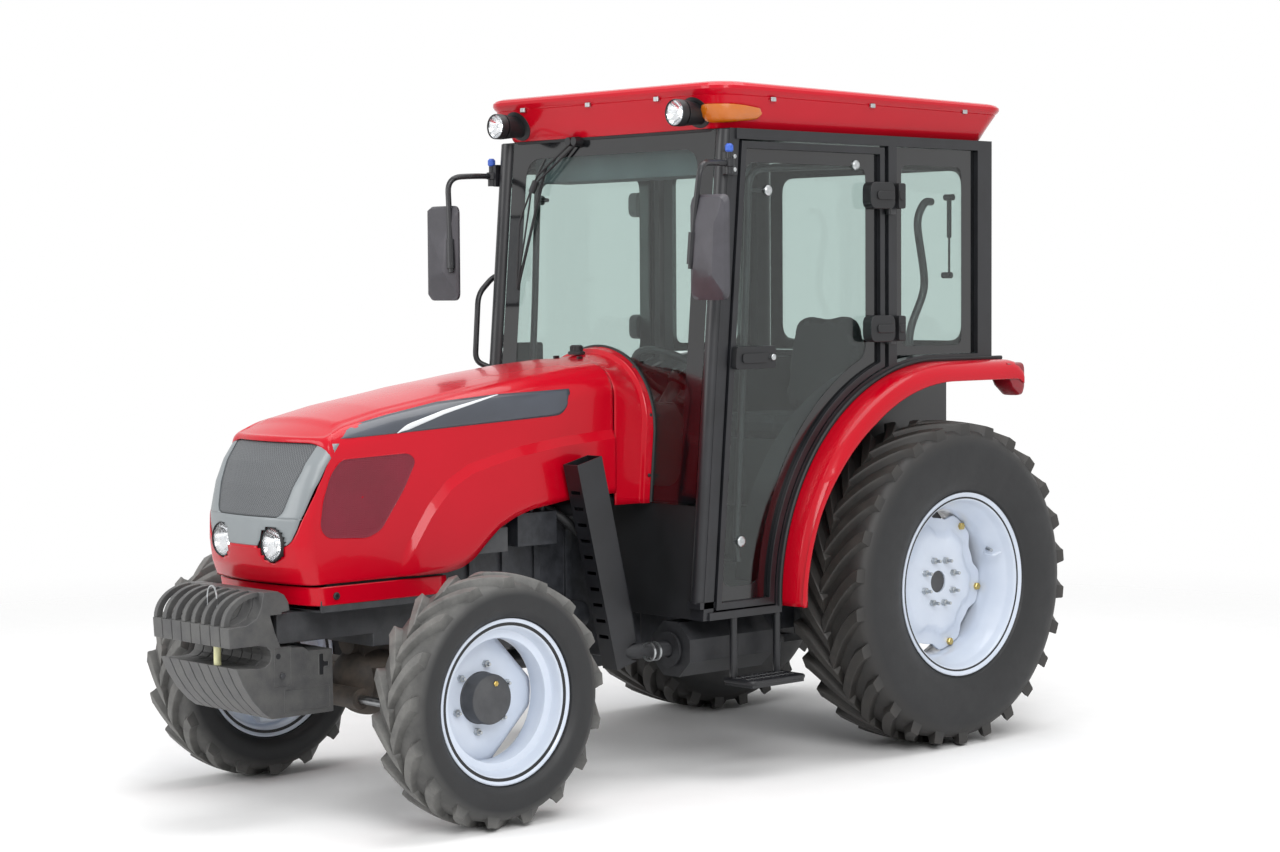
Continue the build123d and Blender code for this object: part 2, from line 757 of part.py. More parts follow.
def grille_window(inset):
    """Opening of the grille, seen from the front, run through the nose."""
    w = grille_half - inset
    bottom_half = w - 62
    points = [(-w, grille_top - inset), (w, grille_top - inset), (w + 6, grille_top - 100),
              (bottom_half + 20, grille_bottom + inset + 16), (bottom_half - 30, grille_bottom + inset),
              (-bottom_half + 30, grille_bottom + inset), (-bottom_half - 20, grille_bottom + inset + 16),
              (-w - 6, grille_top - 100)]
    y = y_rear - nose_bottom_ahead - 60
    face = make_face(Polyline([(x, y, z) for x, z in points], close=True))
    return extrude(face, 200, dir=(0, 1, 0))


def lamp_hole(radius):
    """The two headlamp bores through the nose."""
    y = y_rear - nose_bottom_ahead
    return [rod_y(radius, y - 60, y + 140, x, headlamp_z) for x in (-headlamp_x, headlamp_x)]


def arch_tool():
    """Space over the front wheels that the hood's sides leave free."""
    low = hood_bottom - 80
    y0 = y_rear - arch_front_ahead
    y1 = y_rear - arch_top_ahead
    y2 = y_rear - hood_seam_ahead + 50
    face = make_face([
        Line((0, y0 - 20, low), (0, y0 - 20, hood_bottom)),
        ThreePointArc((0, y0 - 20, hood_bottom), (0, y0 + 200, arch_top - 70), (0, y1, arch_top)),
        Line((0, y1, arch_top), (0, y2, arch_top + 4)),
        Line((0, y2, arch_top + 4), (0, y2, low)),
        Line((0, y2, low), (0, y0 - 20, low)),
    ])
    return extrude(Pos(-500, 0, 0) * face, 1000, dir=(1, 0, 0))


def screen_face():
    """Outline of the side screens, in the plane x = 0."""
    points = [(2490, 925), (2470, 1100), (2400, 1140), (2150, 1142), (2128, 1108), (2255, 900), (2300, 885),
              (2462, 890)]
    return make_face(Polyline([(0, y_rear - a, z) for a, z in points], close=True))


def hood_side(ahead):
    """Half width of the hood's side at a distance ahead of the rear axle."""
    share = (nose_top_ahead - ahead) / (nose_top_ahead - hood_seam_ahead)
    return hood_front_half + share * (hood_rear_half - hood_front_half)


def hood_flare():
    """Left flare over the front wheel: the part of the side below the crease stands out, with a bevel."""
    crease = [(2190, hood_bottom - 40), (2172, hood_bottom + 10), (2114, 863), (2056, 948), (1984, 1023),
              (1896, 1074), (1718, 1111), (1520, 1142), (hood_seam_ahead, 1160)]
    low = [(hood_seam_ahead, hood_bottom - 40)]
    hub_ahead, hub_z = arch_top_ahead, hood_bottom
    outer, inner = [], []
    for a, z in crease + low:
        outer.append((hood_side(a) + flare_depth, y_rear - a, z))
        reach = sqrt((a - hub_ahead) ** 2 + (z - hub_z) ** 2)
        grow = flare_bevel / reach if (a, z) in crease[1:-1] else 0
        up = flare_bevel if (a, z) == crease[-1] else 0
        ahead = a + (a - hub_ahead) * grow + (flare_bevel if (a, z) == crease[0] else 0)
        inner.append((hood_side(ahead) - 3, y_rear - ahead, z + (z - hub_z) * grow + up))
    faces = [make_face(Polyline(points, close=True)) for points in (inner, outer)]
    body = loft(faces, ruled=True)
    return body - arch_tool() - block(0, 500, y_rear - 2600, y_rear, hood_bottom - 200, hood_bottom)


def hood_hinge():
    """Place of the hood's hinge axis: (y, z)."""
    return y_rear - hood_seam_ahead + hinge_behind, hood_rear_top - hinge_below


def hinge_arm_piece():
    """Left hinge arm: from the hood's inside round the cowl's edge to the pin."""
    y, z = hood_hinge()
    ahead = y - hinge_behind - hinge_drop
    outline = [(y - 9, z), (y - 9, z - hinge_drop + 8), (ahead + 16, z - hinge_drop + 8),
               (ahead + 16, z + 20), (ahead, z + 20), (ahead, z - hinge_drop - 8), (y + 9, z - hinge_drop - 8),
               (y + 9, z)]
    arm = side_profile(outline, hinge_arm_x, hinge_arm_x + hinge_arm)
    arm = arm + rod_x(9, hinge_arm_x, hinge_arm_x + hinge_arm, y, z)
    arm = arm - rod_x(hinge_pin + hinge_fit, hinge_arm_x - 5, hinge_arm_x + hinge_arm + 5, y, z)
    outside = block(-400, 400, ahead - 50, ahead + 50, z - 60, z + 60) - hood_loft(hood_wall - 2)
    return arm - outside


def hood():
    """Hood shell, open below and behind, with the openings for grille, lamps and front wheels."""
    y_end = y_rear - hood_seam_ahead
    outer = hood_loft(0) & nose_tool(0, hood_bottom, 1600)
    inner = hood_loft(hood_wall) & nose_tool(hood_wall, hood_bottom - 50, 1600)
    inner = inner + block(-hood_rear_half + hood_wall, hood_rear_half - hood_wall, y_end - 60, y_end + 5,
                          hood_bottom - 50, hood_rear_top - hood_rear_shoulder - hood_crown)
    shell = outer - inner - grille_window(0) - arch_tool()
    for hole in lamp_hole(headlamp_radius + seat):
        shell = shell - hole
    recess = extrude(Pos(hood_front_half - 60, 0, 0) * screen_face(), 120, dir=(1, 0, 0)) - hood_loft(screen_depth)
    shell = shell - recess - mirror(recess, about=Plane.YZ)
    shell = shell + hood_flare() + mirror(hood_flare(), about=Plane.YZ)
    return shell + hinge_arm_piece() + mirror(hinge_arm_piece(), about=Plane.YZ)


def grille_insert():
    """Outline of the mesh insert, seen from the front, run through the nose."""
    points = [(-insert_half, grille_top + 20), (insert_half, grille_top + 20),
              (insert_half - 6, grille_top - 100), (insert_half - 42, insert_bottom + 14),
              (insert_half - 60, insert_bottom), (-insert_half + 60, insert_bottom),
              (-insert_half + 42, insert_bottom + 14), (-insert_half + 6, grille_top - 100)]
    y = y_rear - nose_bottom_ahead - 60
    return extrude(make_face(Polyline([(x, y, z) for x, z in points], close=True)), 200, dir=(0, 1, 0))


def grille():
    """Grille with its surround, filling the nose's opening."""
    layer = nose_tool(1, grille_bottom - 40, grille_top + 40) - nose_tool(grille_depth, grille_bottom - 60, 1400)
    body = layer & grille_window(0)
    body = body - (grille_insert() - nose_tool(insert_depth, insert_bottom - 40, 1400))
    for hole in lamp_hole(headlamp_radius + seat):
        body = body - hole
    return body


def headlamps():
    """Two round headlamps."""
    y = y_rear - nose_bottom_ahead + 10
    lamps = [rod_y(headlamp_radius, y, y + headlamp_depth, x, headlamp_z) for x in (-headlamp_x, headlamp_x)]
    return Compound(children=lamps)


def front_fascia():
    """Fixed red panel under the hood's nose."""
    y_end = y_rear - arch_front_ahead
    high = hood_bottom - fascia_gap
    body = nose_tool(fascia_set_back, fascia_bottom, high) & block(-hood_front_half, hood_front_half, y_face, y_end,
                                                     fascia_bottom, high)
    inner = nose_tool(fascia_set_back + hood_wall, fascia_bottom - 20, high + 20)
    inner = inner & block(-hood_front_half + hood_wall, hood_front_half - hood_wall, y_face, y_end + 5,
                          fascia_bottom - 20, high + 20)
    shelf = block(-hood_front_half + 2, hood_front_half - 2, y_rear - nose_top_ahead, y_rear - frame_rear_ahead,
                  frame_top, frame_top + 8)
    legs = block(-hood_front_half + 2, -hood_front_half + hood_wall, y_rear - nose_top_ahead, y_end, frame_top,
                 fascia_bottom + 20)
    return (body - inner) + shelf + legs + mirror(legs, about=Plane.YZ)




def screen_y(z):
    """Front face of the leaning windscreen at height z."""
    share = (z - screen_foot) / (screen_top - screen_foot)
    return y_rear - (screen_foot_ahead + share * (screen_top_ahead - screen_foot_ahead))


def screen_slab(half, low, high, start, thickness):
    """Slab parallel to the windscreen; start is how far it lies behind the glass's front."""
    points = [(screen_y(low) + start, low), (screen_y(high) + start, high),
              (screen_y(high) + start + thickness, high), (screen_y(low) + start + thickness, low)]
    return side_profile(points, -half, half)


def cowl_face(half, top, y):
    """Arched outline of the cowl in a plane of constant y."""
    side_top = top - half
    return make_face([
        Line((-half, y, cowl_bottom), (-half, y, side_top)),
        ThreePointArc((-half, y, side_top), (0, y, top), (half, y, side_top)),
        Line((half, y, side_top), (half, y, cowl_bottom)),
        Line((half, y, cowl_bottom), (-half, y, cowl_bottom)),
    ])


def cowl_arch(inset, y0, y1):
    """Straight arched body as wide and high as the cowl's flange, set in by inset."""
    return extrude(cowl_face(cowl_half - inset, cowl_top - inset, y0), y1 - y0, dir=(0, 1, 0))


def before_screen():
    """Space ahead of the windscreen."""
    return screen_slab(cab_half, cowl_bottom - 10, roof_bottom, -700, 700)


def cowl():
    """Cowl between the hood and the windscreen, with the flange that seals it to the glass."""
    y0 = y_rear - hood_seam_ahead + seam
    y1 = screen_y(cowl_bottom)
    behind = y1 + 200
    outer = loft([hood_section(hood_seam_ahead - seam, hood_rear_half, hood_rear_top, hood_rear_shoulder, 0),
                  hood_section(y_rear - y1, cowl_half - 14, cowl_top - 16, 290.0, 0)])
    inner = loft([hood_section(hood_seam_ahead - seam, hood_rear_half, hood_rear_top, hood_rear_shoulder,
                               cowl_wall),
                  hood_section(y_rear - y1, cowl_half - 14, cowl_top - 16, 290.0, cowl_wall)])
    low = block(-500, 500, y0 - 10, behind, 600, cowl_bottom)
    skirt = cowl_arch(14, y1 - 40, behind) - cowl_arch(14 + cowl_wall, y1 - 60, behind + 10)
    skin = ((outer - inner) + skirt) - low
    flange = cowl_arch(0, y1 - 40, behind) - cowl_arch(14 + cowl_wall, y1 - 60, behind + 10)
    flange = flange & screen_slab(cab_half, cowl_bottom, roof_bottom, -cowl_flange, cowl_flange)
    y, z = hood_hinge()
    ears = block(hinge_arm_x + hinge_arm + seat, hinge_arm_x + hinge_arm + 10, y - 10, y + 10, z - 12, z + 60)
    ears = ears & outer
    pins = rod_x(hinge_pin, hinge_arm_x - 4, hinge_arm_x + hinge_arm + 10, y, z)
    held = ears + pins
    return (skin & before_screen()) + flange + held + mirror(held, about=Plane.YZ)


def windscreen():
    """Windscreen with the arch that the cowl closes."""
    glass_pane = screen_slab(screen_half + 22, cowl_bottom, screen_top, 0, glass)
    return glass_pane - cowl_arch(20, y_rear - 1300, y_rear - 900)


def firewall():
    """Front wall of the cab behind the cowl and below the windscreen."""
    upper = screen_slab(cab_half, cowl_bottom, cowl_top, glass, 8) & cowl_arch(0, y_rear - 1300, y_rear - 900)
    lower = screen_slab(screen_half + 22, sill_bottom, cowl_bottom, glass, 8)
    tunnel = block(-clutch_half, clutch_half, y_rear - 1300, y_rear - 900, 0, cab_floor - cab_floor_thickness)
    return upper + lower - tunnel


def cab_floor_plate():
    """Floor with the raised platform that carries the seat."""
    front = screen_y(cab_floor) + glass + 8
    step = y_rear - platform_ahead
    rear = y_rear + cab_rear_behind - cab_rail
    low = cab_floor - cab_floor_thickness
    side = screen_half + 22
    arch_front = y_rear - fender_radius
    floor = block(-side, side, front, arch_front, low, cab_floor)
    floor = floor + block(-wheel_house_inner, wheel_house_inner, arch_front, step, low, cab_floor)
    riser = block(-wheel_house_inner, wheel_house_inner, step - 8, step, low, platform_height)
    top = block(-wheel_house_inner, wheel_house_inner, step, rear, platform_height - cab_floor_thickness,
                platform_height)
    return floor + riser + top


def fender_arc(radius, x0, x1, z_low):
    """Solid under the fender's outline: a quarter disc around the axle and a flat run behind it."""
    rear = y_rear + fender_rear_behind
    z_mid = rear_radius
    corner = radius * sqrt(0.5)
    face = make_face([
        Line((0, y_rear - radius, z_low), (0, y_rear - radius, z_mid)),
        ThreePointArc((0, y_rear - radius, z_mid), (0, y_rear - corner, z_mid + corner),
                      (0, y_rear, z_mid + radius)),
        Line((0, y_rear, z_mid + radius), (0, rear, z_mid + radius)),
        Line((0, rear, z_mid + radius), (0, rear, z_low)),
        Line((0, rear, z_low), (0, y_rear - radius, z_low)),
    ])
    return extrude(Pos(x0, 0, 0) * face, x1 - x0, dir=(1, 0, 0))


def wheel_house():
    """Left wheel house: inner wall and arch between the cab and the wheel."""
    y_wall = y_rear + cab_rear_behind
    arch = fender_arc(fender_radius, wheel_house_inner, cab_half, sill_bottom)
    arch = arch - fender_arc(fender_radius - fender_wall, wheel_house_inner - 5, cab_half + 5, sill_bottom - 5)
    wall = fender_arc(fender_radius, wheel_house_inner, wheel_house_inner + fender_wall, sill_bottom)
    low = block(0, cab_half, y_rear - platform_ahead, y_rear + 500, 0, platform_height - cab_floor_thickness)
    wall = wall - low - block(0, cab_half, y_rear - 900, y_rear, 0, cab_floor - cab_floor_thickness)
    behind = block(0, cab_half + 10, y_wall, y_rear + 600, 0, 2000)
    return (arch + wall) - behind


def fender():
    """Left fender: a curved outer strip with its lip turned down over the tyre."""
    outer = fender_arc(fender_radius, cab_half, fender_outer, sill_bottom + 24)
    inner = fender_arc(fender_radius - fender_wall, cab_half - 5, fender_outer - fender_wall, sill_bottom)
    core = fender_arc(fender_radius - fender_drop, cab_half - 5, fender_outer + 5, sill_bottom)
    return outer - inner - core


def rear_lamp():
    """Left rear lamp housing under the fender's end."""
    y1 = y_rear + fender_rear_behind
    z1 = rear_radius + fender_radius - fender_wall
    return block(cab_half + 6, fender_outer - fender_wall, y1 - 70, y1, z1 - 110, z1)


def sill_and_posts():
    """Left half of the cab's frame."""
    x0, x1 = cab_half - pillar_width - 8, cab_half - 8
    y0, y1 = screen_y(sill_bottom), screen_y(screen_top)
    a_post = side_profile([(y0, sill_bottom), (y1, screen_top), (y1 + pillar_depth, screen_top),
                           (y0 + pillar_depth, sill_bottom)], x0, x1)
    arch_front = y_rear - fender_radius
    sill = block(screen_half + 22, cab_half - door_thickness - seam, y0 + pillar_depth / 2, arch_front,
                 sill_bottom, cab_floor)
    sill = sill + block(cab_half - door_thickness - seam, cab_half, y0 + pillar_depth / 2, arch_front,
                        sill_bottom, door_bottom - seam)
    band = fender_arc(fender_radius + door_arch_gap - seam, cab_half - b_pillar_width, cab_half, sill_bottom)
    band = band - fender_arc(fender_radius, cab_half - b_pillar_width - 5, cab_half + 5, sill_bottom - 5)
    band = band - block(0, cab_half + 5, y_rear + cab_rear_behind, y_rear + 600, 0, 2000)
    z_arch = rear_radius + fender_radius
    b_base = rear_radius + sqrt(fender_radius ** 2 - b_pillar_ahead ** 2)
    b_post = block(cab_half - b_pillar_width, cab_half, y_rear - b_pillar_ahead,
                   y_rear - b_pillar_ahead + b_pillar_width, b_base - 20, screen_top)
    b_post = b_post - fender_arc(fender_radius, cab_half - b_pillar_width - 5, cab_half + 5, sill_bottom - 5)
    c_post = block(cab_half - pillar_width, cab_half, y_rear + c_pillar_behind, y_rear + cab_rear_behind,
                   z_arch, screen_top)
    rail = block(x0, cab_half, y1 + pillar_depth / 2, y_rear + cab_rear_behind, door_top + seam, screen_top)
    return a_post + sill + band + b_post + c_post + rail


def hinge_stack(z):
    """Pillar's half of a door hinge: a leaf and the lower knuckle."""
    y = y_rear - door_rear_ahead + 10
    x = cab_half + hinge_offset
    knuckle_low = rod_z(hinge_radius, z - hinge_height, z - seat / 2, x, y)
    leaf = block(cab_half, x, y + 2, y_rear - b_pillar_ahead + 26, z - hinge_height, z - seat / 2)
    pin = rod_z(door_pin, z - 5, z + hinge_height + 4, x, y)
    return knuckle_low + leaf + pin


def cab_frame():
    """Posts, sills and rails of the cab, with the door hinges' fixed halves."""
    left = sill_and_posts()
    for z in (hinge_low, hinge_high):
        left = left + hinge_stack(z)
    right = mirror(left, about=Plane.YZ)
    x1 = cab_half - pillar_width - 8
    front = screen_slab(x1, door_top + seam, screen_top, glass, 44)
    rear_top = block(-x1, x1, y_rear + cab_rear_behind - cab_rail, y_rear + cab_rear_behind, door_top + seam,
                     screen_top)
    z_arch = rear_radius + fender_radius
    rear_low = block(-cab_half + pillar_width, cab_half - pillar_width, y_rear + cab_rear_behind - cab_rail,
                     y_rear + cab_rear_behind, z_arch, z_arch + 24)
    return left + right + front + rear_top + rear_low


def rear_panel():
    """Lower rear wall between the wheel houses."""
    y1 = y_rear + cab_rear_behind
    return block(-wheel_house_inner, wheel_house_inner, y1 - cab_rail, y1 - cab_rail + 30,
                 platform_height - cab_floor_thickness, rear_radius + fender_radius)


def rear_window():
    """Rear window in its frame."""
    y1 = y_rear + cab_rear_behind - 12
    z0 = rear_radius + fender_radius + 24
    half = cab_half - pillar_width - 8
    return block(-half, half, y1 - glass, y1, z0, door_top + seam)


def side_window():
    """Left side window between the door's post and the rear post."""
    z0 = rear_radius + fender_radius + door_arch_gap - seam
    return block(cab_half - 18 - glass, cab_half - 18, y_rear - b_pillar_ahead + b_pillar_width,
                 y_rear + c_pillar_behind, z0, door_top + seam)


def door_face(inset):
    """Outline of the left door, set in by inset, in the plane x = 0."""
    r = fender_radius + door_arch_gap + inset
    z0 = door_bottom + inset
    z1 = door_top - inset
    start = max(z0, rear_radius)
    y_rear_edge = y_rear - door_rear_ahead - inset
    y_low = y_rear - sqrt(r ** 2 - (start - rear_radius) ** 2)
    z_high = rear_radius + sqrt(r ** 2 - (y_rear - y_rear_edge) ** 2)
    middle = (atan2(start - rear_radius, y_low - y_rear) + atan2(z_high - rear_radius, y_rear_edge - y_rear)) / 2
    arc_middle = (0, y_rear + r * cos(middle), rear_radius + r * sin(middle))
    front_low = screen_y(z0) + pillar_depth + seam + inset
    front_high = screen_y(z1) + pillar_depth + seam + inset
    edges = [
        ThreePointArc((0, y_low, start), arc_middle, (0, y_rear_edge, z_high)),
        Line((0, y_rear_edge, z_high), (0, y_rear_edge, z1)),
        Line((0, y_rear_edge, z1), (0, front_high, z1)),
        Line((0, front_high, z1), (0, front_low, z0)),
        Line((0, front_low, z0), (0, y_low, z0)),
    ]
    if start > z0:
        edges.append(Line((0, y_low, z0), (0, y_low, start)))
    return make_face(edges)


def door():
    """Left door: a frame around the glass, its hinge halves and handle."""
    x0 = cab_half - door_thickness
    frame = extrude(Pos(x0, 0, 0) * door_face(0), door_thickness, dir=(1, 0, 0))
    hole = extrude(Pos(x0 - 5, 0, 0) * door_face(door_frame), door_thickness + 10, dir=(1, 0, 0))
    frame = frame - hole
    y = y_rear - door_rear_ahead + 10
    x = cab_half + hinge_offset
    for z in (hinge_low, hinge_high):
        z0, z1 = z + seat / 2, z + hinge_height
        half = rod_z(hinge_radius, z0, z1, x, y) + block(cab_half, x, y - 40, y, z0, z1)
        frame = frame + (half - rod_z(door_pin + fit, z0 - 5, z1 + 5, x, y))
    return frame


def door_glass():
    """Glass of the left door."""
    return extrude(Pos(cab_half - 22, 0, 0) * door_face(door_frame), glass, dir=(1, 0, 0))


def roof_body(inset, low, high):
    """Roof cap between two heights, set in by inset; it widens upwards."""
    faces = []
    for z in (low, high):
        out = roof_flare * (z - roof_bottom) / roof_height - inset
        half = roof_half + out
        depth = roof_front_ahead + roof_rear_behind + 2 * out
        y_mid = y_rear + (roof_rear_behind - roof_front_ahead) / 2
        faces.append(Pos(0, y_mid, z) * RectangleRounded(2 * half, depth, roof_corner))
    return loft(faces)


def roof():
    """Roof cap, hollow and open below."""
    top = roof_bottom + roof_height
    cap = roof_body(0, roof_bottom, top)
    cap = fillet(cap.edges().group_by(Axis.Z)[-1], roof_edge)
    hollow = roof_body(roof_wall, roof_bottom, top - roof_wall)
    hollow = fillet(hollow.edges().group_by(Axis.Z)[-1], roof_edge - roof_wall)
    return cap - hollow


def roof_liner():
    """Lining under the roof with the console over the windscreen."""
    x1 = cab_half - pillar_width - 8
    y0 = screen_y(screen_top) + glass + 44
    y1 = y_rear + cab_rear_behind - cab_rail
    plate = block(-x1, x1, y0, y1, screen_top - liner_thickness, screen_top)
    console = block(-x1 + 60, x1 - 60, y0 + 6, y0 + 6 + console_depth, screen_top - console_height, screen_top)
    return plate + console


def work_lamps():
    """Two round work lamps on the roof's front."""
    y0 = y_rear - lamp_front_ahead
    lean = roof_flare * (lamp_z - lamp_radius - roof_bottom) / roof_height
    y1 = y_rear - roof_front_ahead - lean
    bodies = []
    for x in (-lamp_x, lamp_x):
        body = rod_y(lamp_radius, y0, y1 + 30, x, lamp_z)
        bodies.append(body - roof_body(0, roof_bottom - 80, roof_bottom + roof_height))
    return Compound(children=bodies)


def signal_lamps():
    """Two amber lamps on the roof's front corners."""
    z0 = lamp_z - signal_height / 2
    y0 = y_rear - roof_front_ahead - roof_flare
    outer = roof_half + roof_flare
    pieces = []
    for side in (-1, 1):
        body = block(side * (outer - 40), side * (outer + 4), y0 - 4, y0 + signal_length, z0, z0 + signal_height)
        pieces.append(body - roof_body(0, roof_bottom - 80, roof_bottom + roof_height))
    return Compound(children=pieces)


def exhaust_points():
    """Middle of the exhaust pipe: at the engine, the guard's top and foot, and the muffler."""
    x = guard_inner + guard_width / 2
    share = (guard_top - manifold_z) / (guard_top - guard_foot)
    y_top = y_rear - guard_top_ahead + share * (guard_top_ahead - guard_foot_ahead)
    share = (guard_top - muffler_z) / (guard_top - guard_foot)
    y_foot = y_rear - guard_top_ahead + share * (guard_top_ahead - guard_foot_ahead)
    return ((engine_half, y_top, manifold_z), (x, y_top, manifold_z), (x, y_foot, muffler_z),
            (muffler_x, y_rear - muffler_front_ahead, muffler_z))


def exhaust_guard():
    """Perforated shield along the exhaust pipe, as a slanted rectangular tube."""
    x = guard_inner + guard_width / 2
    start = (x, y_rear - guard_top_ahead, guard_top)
    end = (x, y_rear - guard_foot_ahead, guard_foot)
    outer = bar(start, end, guard_width, guard_depth)
    inner = bar(start, end, guard_width - 2 * guard_wall, guard_depth - 2 * guard_wall)
    manifold, top, foot, inlet = exhaust_points()
    way = tube(foot, inlet, pipe_radius + 8) + tube(manifold, top, pipe_radius + 8)
    body = outer - inner - way
    run = Vector(*foot) - Vector(*top)
    down = (Vector(*end) - Vector(*start)).normalized()
    front_face = Vector(*start) - Vector(0, -down.Z, down.Y) * (guard_depth / 2)
    for k in range(guard_slots):
        high = front_face + down * (guard_slot_first + guard_slot_pitch * k)
        low = high + down * guard_slot_height
        body = body - bar(tuple(high), tuple(low), guard_slot_width, 6 * guard_wall)
    for share in (0.2, 0.7):
        low = Vector(*top) + run * share
        high = low + run.normalized() * guard_wall
        body = body + bar(tuple(low), tuple(high), guard_width - guard_wall, guard_depth - guard_wall)
    return body - tube(top, foot, pipe_radius + seat)


def exhaust():
    """Exhaust pipe from the engine down inside its guard, the elbow and the hung muffler."""
    manifold, top, foot, inlet = exhaust_points()
    pipe = tube(manifold, top, pipe_radius) + Pos(*top) * Sphere(pipe_radius) + tube(top, foot, pipe_radius)
    pipe = pipe + Pos(*foot) * Sphere(pipe_radius) + tube(foot, inlet, pipe_radius)
    y0 = y_rear - muffler_front_ahead
    octagon = Pos(muffler_x, y0, muffler_z) * Rot(-90, 0, 22.5)
    can = extrude(octagon * RegularPolygon(muffler_radius, 8, major_radius=False), muffler_length)
    for y in (y0 + 70, y0 + muffler_length - 90):
        can = can + block(muffler_x - 25, muffler_x + 25, y, y + 5, muffler_z, cab_floor - cab_floor_thickness)
    return pipe + can


def steps():
    """One step under each door, hung on two bent tubes."""
    y0 = y_rear - step_front_ahead
    y1 = y0 + step_length
    z0 = step_z - step_plate
    step = block(step_inner, step_outer, y0, y1, z0, step_z)
    for y in (y0 + 20, y1 - 20):
        step = step + rod_z(step_tube, step_z - 4, sill_bottom, step_inner + 20, y)
    return step


def mirror_piece():
    """Left mirror: foot on the post, bent arm and head."""
    foot_y = screen_y(mirror_foot_z) + 20
    x0 = cab_half - 8
    y = y_rear - mirror_ahead
    top = mirror_z + mirror_height / 2
    foot = block(x0, x0 + 30, foot_y - 16, foot_y + 16, mirror_foot_z - 40, mirror_foot_z + 40)
    knee = (mirror_x - 40, y + mirror_depth / 2, mirror_foot_z)
    arm = tube((x0 + 20, foot_y, mirror_foot_z), knee, mirror_arm) + Pos(*knee) * Sphere(mirror_arm)
    drop = tube(knee, (mirror_x - 40, y + mirror_depth / 2, top - 40), mirror_arm)
    head = block(mirror_x - mirror_width / 2, mirror_x + mirror_width / 2, y, y + mirror_depth,
                 mirror_z - mirror_height / 2, top)
    head = fillet(head.edges().filter_by(Axis.Y), 26)
    return foot + arm + drop + head


def seat_base():
    """Suspension box under the seat."""
    y0 = y_rear - seat_front_ahead + 60
    base = block(-seat_half + 60, seat_half - 60, y0, y0 + 300, platform_height, seat_top - cushion_height - seat)
    back = y_rear - seat_front_ahead + seat_depth
    stay = block(-90, 90, back + back_depth + seat, back + back_depth + 20, seat_top - 100, seat_top + 300)
    foot = block(-90, 90, y0 + 280, back + back_depth + 20, seat_top - cushion_height - 60,
                 seat_top - cushion_height - seat)
    return base + foot + stay


def seat_cushion():
    """Seat cushion."""
    y0 = y_rear - seat_front_ahead
    pad = block(-seat_half, seat_half, y0, y0 + seat_depth - seat, seat_top - cushion_height, seat_top)
    return fillet(pad.edges().filter_by(Axis.Z), 50)


def seat_back():
    """Backrest of the seat."""
    y0 = y_rear - seat_front_ahead + seat_depth
    pad = block(-seat_half + 10, seat_half - 10, y0, y0 + back_depth, seat_top - 20, seat_top + back_height)
    return fillet(pad.edges().filter_by(Axis.Y), back_corner)


def wheel_frame():
    """Plane of the steering wheel: its normal points up and back along the column."""
    tilt = radians(wheel_tilt)
    normal = Vector(0, sin(tilt), cos(tilt))
    return Plane(origin=(0, y_rear - wheel_ahead, wheel_z), x_dir=(1, 0, 0), z_dir=normal)


def steering_wheel():
    """Steering wheel with three spokes and its hub."""
    ring = Torus(wheel_ring - wheel_rim, wheel_rim)
    hub = Cylinder(38, 44)
    body = ring + hub
    for angle in (90, 210, 330):
        body = body + Rot(0, 0, angle) * block(20, wheel_ring - wheel_rim, -14, 14, -5, 5)
    bore = Pos(0, 0, -30) * Cylinder(11 + fit, 90)
    return wheel_frame() * (body - bore)


def dashboard():
    """Dashboard with the steering column."""
    y0 = screen_y(dash_top) + glass + 8 + 20
    front = screen_y(cab_floor) + glass + 8
    box = side_profile([(front, cab_floor), (y0, dash_top), (y0 + dash_depth * 0.5, dash_top),
                        (y0 + dash_depth, dash_top - 160), (front + dash_depth * 0.7, cab_floor)],
                       -dash_half, dash_half)
    frame = wheel_frame()
    column = frame * (Pos(0, 0, -150) * Cylinder(column_radius, 250) + Pos(0, 0, -12) * Cylinder(11, 26 + 24))
    return box + column


def drawbar():
    """Drawbar with its hanger under the rear case."""
    y0, y1 = y_rear - drawbar_front_ahead, y_rear + drawbar_end_behind
    z0 = drawbar_z - drawbar_thickness / 2
    z1 = drawbar_z + drawbar_thickness / 2
    body = block(-drawbar_half, drawbar_half, y0, y1, z0, z1)
    body = body - rod_z(drawbar_hole, z0 - 5, z1 + 5, 0, y1 - 40)
    for y in (y_rear - drawbar_front_ahead + 20, y_rear + rear_case_behind - 60):
        body = body + block(-70, 70, y, y + 40, z1, rear_case_bottom)
    return body


def lift_case():
    """Hitch housing behind the rear case, with the top link's ears, link pins and shaft shield."""
    y0, y1 = y_rear + rear_case_behind, y_rear + lift_case_behind
    case = block(-lift_case_half, lift_case_half, y0, y1, lift_case_bottom, lift_case_top)
    case = case - rod_x(rock_radius + fit, -lift_case_half - 5, lift_case_half + 5, y_rear + rock_behind, rock_z)
    for side in (-1, 1):
        ear = block(side * 24, side * 40, y1, y_rear + top_pivot_behind, top_pivot_z - 28, top_pivot_z + 24)
        case = case + ear + rod_x(26, side * 24, side * 40, y_rear + top_pivot_behind, top_pivot_z)
    case = case + rod_x(top_pin, -40, 40, y_rear + top_pivot_behind, top_pivot_z)
    shield = block(-100, 100, y0, y0 + 150, pto_z + 62, pto_z + 68)
    for side in (-1, 1):
        shield = shield + block(side * 94, side * 100, y0, y0 + 120, pto_z - 20, pto_z + 68)
    return case, shield


def hitch_frame():
    """Fixed parts of the hitch on the rear case."""
    case, shield = lift_case()
    web = block(-60, 60, y_rear + rear_case_behind, y_rear + rear_case_behind + 20, pto_z + 62,
                lift_case_bottom)
    body = case + shield + web
    for side in (-1, 1):
        pin = rod_x(link_pin, side * (rear_case_half), side * (link_x + link_thickness / 2 + 14),
                    y_rear + link_pivot_behind, link_pivot_z)
        body = body + pin
    return body


